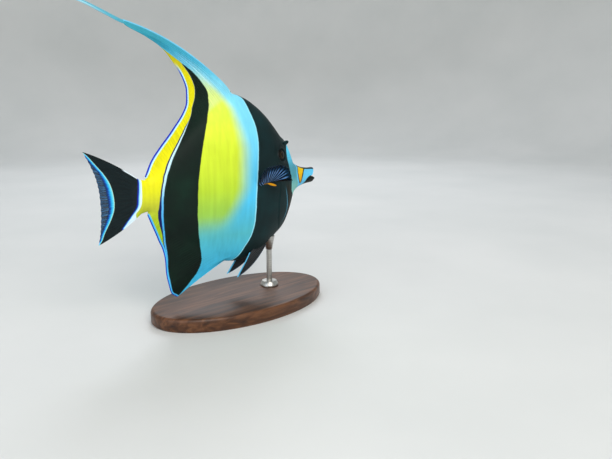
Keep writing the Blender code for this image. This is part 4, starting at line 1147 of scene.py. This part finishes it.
def make_dorsal(material):
    """The whole dorsal fin with its two short spines, from the pennant to the low rear part."""
    margin = spread(DORSAL_TIPS)
    ray_count = 44
    lengths = {}

    def surface(u, v):
        start = inside_root(back_height, DORSAL_ROOT, u, -1)
        bow = LEADING_BOW * max(0.0, 1 - u / 0.62)
        end = margin(u)
        straight = (end - start).length
        lengths[round(u, 5)] = straight + RAY_SINK
        share = (v * (straight + RAY_SINK) - RAY_SINK) / straight
        # The leading edge rises steeply off the back
        early = max(0.0, share) / 0.1
        lift = 1.5 * MM * (bow / LEADING_BOW) * early * math.exp(1 - early)
        bow_here = bow + lift / max(0.04, 4 * share * (1 - share))
        spot = bowed(start, end, bow_here, share)
        ripple = 0.35 * MM * math.sin(u * 23) * max(0.0, share) ** 2 * eased(0.25, 0.5, u)
        return spot + Vector((0, ripple, 0))

    def half(u, v, spot):
        return median_half(u, v, spot, ray_count, lengths[round(u, 5)], back_height, 0.3)

    def short_spine(length, ahead):
        def extra(shape):
            root, higher = surface(0, 0.06), surface(0, 0.35)
            facing = (higher - root).normalized()
            forward = Vector((facing.z, 0, -facing.x))
            cone = bmesh.ops.create_cone(
                shape, cap_ends=True, segments=16, radius1=0.65 * MM, radius2=0.2 * MM, depth=length * MM
            )["verts"]
            foot = inside_root(back_height, DORSAL_ROOT, 0, -1)
            middle = foot + facing * (length / 2) * MM + forward * ahead * MM
            bmesh.ops.transform(shape, matrix=turned(middle, facing), verts=cone)
            return cone

        return extra

    extras = [short_spine(10, 0.15), short_spine(6.5, 0.8)]
    thing = make_membrane("dorsal_fin", surface, half, ray_count, 8, 56, extras)
    finish_piece(thing, material, "fin_pale", "dorsal_pennant", "dorsal_fin_upper", "dorsal_fin_lower")


def make_anal(material):
    """The anal fin: its first ray ends in a long point, and the rays shorten towards the tail stalk."""
    margin = spread(ANAL_TIPS)
    ray_count = 36
    lengths = {}

    def surface(u, v):
        start = inside_root(belly_height, ANAL_ROOT, u, 1)
        end = margin(u)
        straight = (end - start).length
        lengths[round(u, 5)] = straight + RAY_SINK
        share = (v * (straight + RAY_SINK) - RAY_SINK) / straight
        spot = bowed(start, end, 0.8 * MM * (1 - u), share)
        ripple = 0.3 * MM * math.sin(u * 19 + 1) * max(0.0, share) ** 2
        return spot + Vector((0, ripple, 0))

    def half(u, v, spot):
        return median_half(u, v, spot, ray_count, lengths[round(u, 5)], belly_height, 0.25)

    thing = make_membrane("anal_fin_rays", surface, half, ray_count, 8, 40)
    finish_piece(thing, material, "fin_black", "anal_fin")


def make_tail(material):
    """The tail fin, with the tail stalk's section at its root and a slight sway."""
    margin = spread(TAIL_TIPS)
    ray_count = 18

    def surface(u, v):
        start = Vector((0, 0, BACK[0][1] * MM * (1 - 2 * u)))
        share = (v - TAIL_SINK) / (1 - TAIL_SINK)
        if share < 0:
            x = -share * 30 * MM
            return Vector((x, 0, back_height(x / MM) * MM * (1 - 2 * u) * 0.985))
        spot = bowed(start, margin(u), 1.4 * (1 - 2 * u) * MM, share)
        scallop = 0.25 * MM * (1 - math.cos(2 * math.pi * u * ray_count)) * 0.5 * eased(0.9, 1, share)
        return Vector((spot.x + scallop, -(min(0.0, spot.x) ** 2) * 2.2, spot.z))

    def half(u, v, spot):
        share = max(0.0, (v - TAIL_SINK) / (1 - TAIL_SINK))
        stalk = WIDTH[0][1] * MM * max(0.0, 1 - abs(2 * u - 1) ** FLANK_FULLNESS) ** (1 / FLANK_ROUNDING)
        fade = max(0.0, 1 - share / 0.34) ** 1.7
        rays = 0.17 * MM * ridge(u, share, ray_count, 0.4) * eased(0.03, 0.25, share)
        sheet = (0.27 - 0.13 * share) * MM + rays
        if v < TAIL_SINK:
            return max(0.05 * MM, flank(spot.x, spot.z) * 0.93 - 0.12 * MM)
        rim = 1 - 0.6 * eased(0.985, 1, share)
        return blended_max(stalk * fade, sheet, 0.4 * MM) * rim

    thing = make_membrane("tail_fin_rays", surface, half, ray_count, 8, 50)
    finish_piece(thing, material, "fin_black", "tail_fin")


def side_fin_half(u, share, ray_count, root):
    """Half the thickness of a paired fin: fleshy at its root, with rounded rays and a thin margin."""
    sheet = 0.16 * MM + 0.15 * MM * ridge(u, share, ray_count, 0.6) * eased(0.05, 0.25, share)
    lead = 0.22 * MM * swell(u * ray_count, 0.9) * (1 - 0.7 * share)
    rim = 1 - 0.55 * eased(0.97, 1, share)
    return (sheet + lead + root * max(0.0, 1 - share / 0.3) ** 1.8) * rim


def make_pectorals(material):
    """A raised, cupped fan on each side: its hind rays sweep back before they turn up."""
    margin = spread(PECTORAL_TIPS)
    ray_count = 13
    for name, side in (("right", 1), ("left", -1)):

        def surface(u, v):
            start = PECTORAL_FRONT.lerp(PECTORAL_BACK, u)
            bow = Vector((-2.5, -1.2, -1.3)) * MM * (4 * v * (1 - v)) * (0.1 + 0.9 * u)
            scallop = 1 - 0.012 * (1 - math.cos(2 * math.pi * u * ray_count)) * eased(0.85, 1, v)
            spot = start.lerp(margin(u), v * scallop) + bow
            return Vector((spot.x, side * spot.y, spot.z))

        def half(u, v, spot):
            return side_fin_half(u, v, ray_count, 0.55 * MM)

        thing = make_membrane(f"pectoral_rays_{name}", surface, half, ray_count, 12, 40)
        finish_piece(thing, material, "fin_clear", f"pectoral_fin_{name}")


def make_pelvics(material):
    """Narrow fins folded back along the belly, with a curved front edge."""
    margin = spread(PELVIC_TIPS)
    ray_count = 6
    for name, side in (("right", 1), ("left", -1)):

        def surface(u, v):
            start = PELVIC_FRONT.lerp(PELVIC_BACK, u)
            bow = Vector((1.2, 0, -2.6)) * MM * (4 * v * (1 - v)) * (1 - u)
            spot = start.lerp(margin(u), v) + bow
            return Vector((spot.x, side * spot.y, spot.z))

        def half(u, v, spot):
            return side_fin_half(u, v, ray_count, 0.6 * MM)

        thing = make_membrane(f"pelvic_rays_{name}", surface, half, ray_count, 10, 40)
        finish_piece(thing, material, "fin_black", f"pelvic_fin_{name}")


def make_streamer(material):
    """The long thread that runs on from the pennant's tip, with fine strands along it."""
    margin = spread(DORSAL_TIPS)
    start = inside_root(back_height, DORSAL_ROOT, 0.03, -1)
    lead_in = [bowed(start, margin(0.03), LEADING_BOW * 0.95, share) / MM for share in (0.84, 0.92)]
    points = [*lead_in, *[Vector(point) for point in STREAMER]]
    runs = [0.0]
    for before, after in zip(points, points[1:]):
        runs.append(runs[-1] + (after - before).length)
    knots = [run / runs[-1] for run in runs]
    lines = [through([(knot, point[k]) for knot, point in zip(knots, points)]) for k in range(3)]
    tall, wide = through(STREAMER_HEIGHT), through(STREAMER_HALF_WIDTH)
    steps, around = 150, 24
    shape = bmesh.new()
    bmesh.ops.create_grid(shape, x_segments=steps, y_segments=around, size=0.5)
    rays = shape.loops.layers.uv.new("rays")
    for face in shape.faces:
        for loop in face.loops:
            loop[rays].uv = ((loop.vert.co.y + 0.5) * 4, (loop.vert.co.x + 0.5) * runs[-1])
    for vert in shape.verts:
        share = vert.co.x + 0.5
        turn = 2 * math.pi * (round((vert.co.y + 0.5) * around) % around) / around
        spot = Vector([line(share) for line in lines]) * MM
        low, high = max(0.0, share - 0.004), min(1.0, share + 0.004)
        run = Vector([line(high) - line(low) for line in lines]).normalized()
        side = run.cross(Vector((0, 0, 1))).normalized()
        rise = side.cross(run)
        strand = 1 + 0.07 * math.cos(6 * turn)
        across = math.cos(turn) * wide(share) * strand * MM
        up = math.sin(turn) * tall(share) * strand * MM
        vert.co = spot + side * across + rise * up
    bmesh.ops.remove_doubles(shape, verts=shape.verts, dist=0.0005 * MM)
    bmesh.ops.holes_fill(shape, edges=[edge for edge in shape.edges if edge.is_boundary], sides=0)
    bmesh.ops.recalc_face_normals(shape, faces=shape.faces)
    thing = place("streamer", shape, 75)
    finish_piece(thing, material, "fin_pale", "streamer_root", "streamer_middle", "streamer_tip")


# The stand

def make_stand(wood, steel):
    """The oval base, then the rod with its collar and the cup under the chest, as outlines in millimetres."""
    inset = BASE_ROUNDING * MM / (BASE_LENGTH / 2)
    corner = []
    for i in range(9):
        angle = math.pi / 16 * i
        height = BASE_HEIGHT - BASE_ROUNDING + BASE_ROUNDING * math.cos(angle)
        corner.append((1 - inset + inset * math.sin(angle), height))
    outline = [(0, BASE_HEIGHT), (0.5, BASE_HEIGHT), *corner, (1, 1.4), (0.993, 0.6), (0.985, 0.0), (0, 0)]
    shape = lathed([(radius / MM, height) for radius, height in outline], 160)
    bmesh.ops.scale(shape, vec=(BASE_LENGTH / 2, BASE_WIDTH / 2, 1), verts=shape.verts)
    finish_piece(place("stand_base_walnut", shape, 50, Vector()), wood, "stand_wood", "stand_base")
    belly = (TO_STAND.z + belly_height(103) * MM) / MM
    foot = belly - CUP_DEPTH
    seat = BASE_HEIGHT + 0.3
    parts = (
        (
            "stand_rod_steel",
            "stand_rod",
            [(0, seat), (ROD_RADIUS, seat), (ROD_RADIUS, foot - 0.3), (0, foot - 0.3)],
        ),
        (
            "stand_collar_steel",
            "stand_collar",
            [
                (2.05, seat), (6.5, seat), (6.5, 10.1), (6.3, 10.5), (5.5, 12.4), (5.1, 12.8), (2.05, 12.8),
                (2.05, seat),
            ],
        ),
        (
            "stand_cup_steel",
            "stand_cup",
            [
                (0, foot), (2.2, foot), (2.4, foot + 0.2), (4.05, belly + 2.0), (4.25, belly + 2.6),
                (3.9, belly + 3), (0, belly + 3),
            ],
        ),
    )
    for name, node, outline in parts:
        finish_piece(place(name, lathed(outline), 35, ROD_PLACE), steel, "stand_metal", node)


# The stage

def make_stage():
    """A pale floor that rises into a round backdrop, with soft lamps."""
    flat, curve = 1.15, 0.45
    outline = [(0.0, 0.0), (flat, 0.0)]
    for i in range(1, 13):
        angle = math.pi / 24 * i
        outline.append((flat + curve * math.sin(angle), curve - curve * math.cos(angle)))
    outline.append((flat + curve, 1.5))
    shape = lathed(outline, unit=1)
    bmesh.ops.reverse_faces(shape, faces=shape.faces)
    floor = place("studio_floor", shape, 80, Vector())
    floor.data.materials.append(floor_finish())
    aim = Vector((-0.02, 0, 0.09))
    lamps = (
        ("key_lamp", (-0.45, -0.95, 0.75), 0.7, 11.0, "#fffaf2"),
        ("fill_lamp", (-0.95, -0.15, 0.4), 0.8, 3.0, "#eef5ff"),
        ("rim_lamp", (0.6, 0.7, 0.9), 0.5, 6.0, "#f4f8ff"),
    )
    for name, spot, size, power, colour in lamps:
        light = bpy.data.lights.new(name, "AREA")
        light.size = size
        light.energy = power
        light.color = linear(colour)[:3]
        lamp = bpy.data.objects.new(name, light)
        lamp.location = spot
        lamp.rotation_euler = (aim - Vector(spot)).to_track_quat("-Z", "Y").to_euler()
        bpy.context.scene.collection.objects.link(lamp)
    world = bpy.data.worlds.new("studio_air")
    world.use_nodes = True
    sky = world.node_tree.nodes["Background"]
    sky.inputs["Color"].default_value = linear("#eef3f6")
    sky.inputs["Strength"].default_value = 0.55
    bpy.context.scene.world = world
    bpy.context.scene.view_settings.view_transform = "Standard"


def make_camera():
    """The photograph's view: from behind the right flank, a little above."""
    lens = bpy.data.cameras.new("camera")
    lens.lens = CAMERA_LENS
    lens.sensor_width = 36
    lens.clip_start = 0.01
    camera = bpy.data.objects.new("camera", lens)
    camera.location = CAMERA_PLACE
    camera.rotation_euler = Vector(CAMERA_AIM).to_track_quat("-Z", "Y").to_euler()
    bpy.context.scene.collection.objects.link(camera)
    bpy.context.scene.camera = camera


make_camera()
make_stage()
skin_material = skin_finish()
skin = make_skin(skin_material, lining_finish())
flesh = ("torso", "tail_stalk", "head", "snout", "lower_jaw", "gill_cover_right", "gill_cover_left")
finish_piece(skin, None, "skin_flank", *flesh)
eye_material = eye_finish()
for word, side in (("right", -1), ("left", 1)):
    finish_piece(make_eye(f"eyeball_{word}", side), eye_material, "eye", f"eye_{word}")
    finish_piece(make_horn(f"brow_horn_{word}", side), skin_material, "skin_black", f"horn_{word}")
fin_material = median_fin_finish()
make_dorsal(fin_material)
make_anal(fin_material)
make_tail(tail_finish())
make_pectorals(pectoral_finish())
make_pelvics(pelvic_finish())
make_streamer(streamer_finish())
make_stand(wood_finish(), steel_finish())
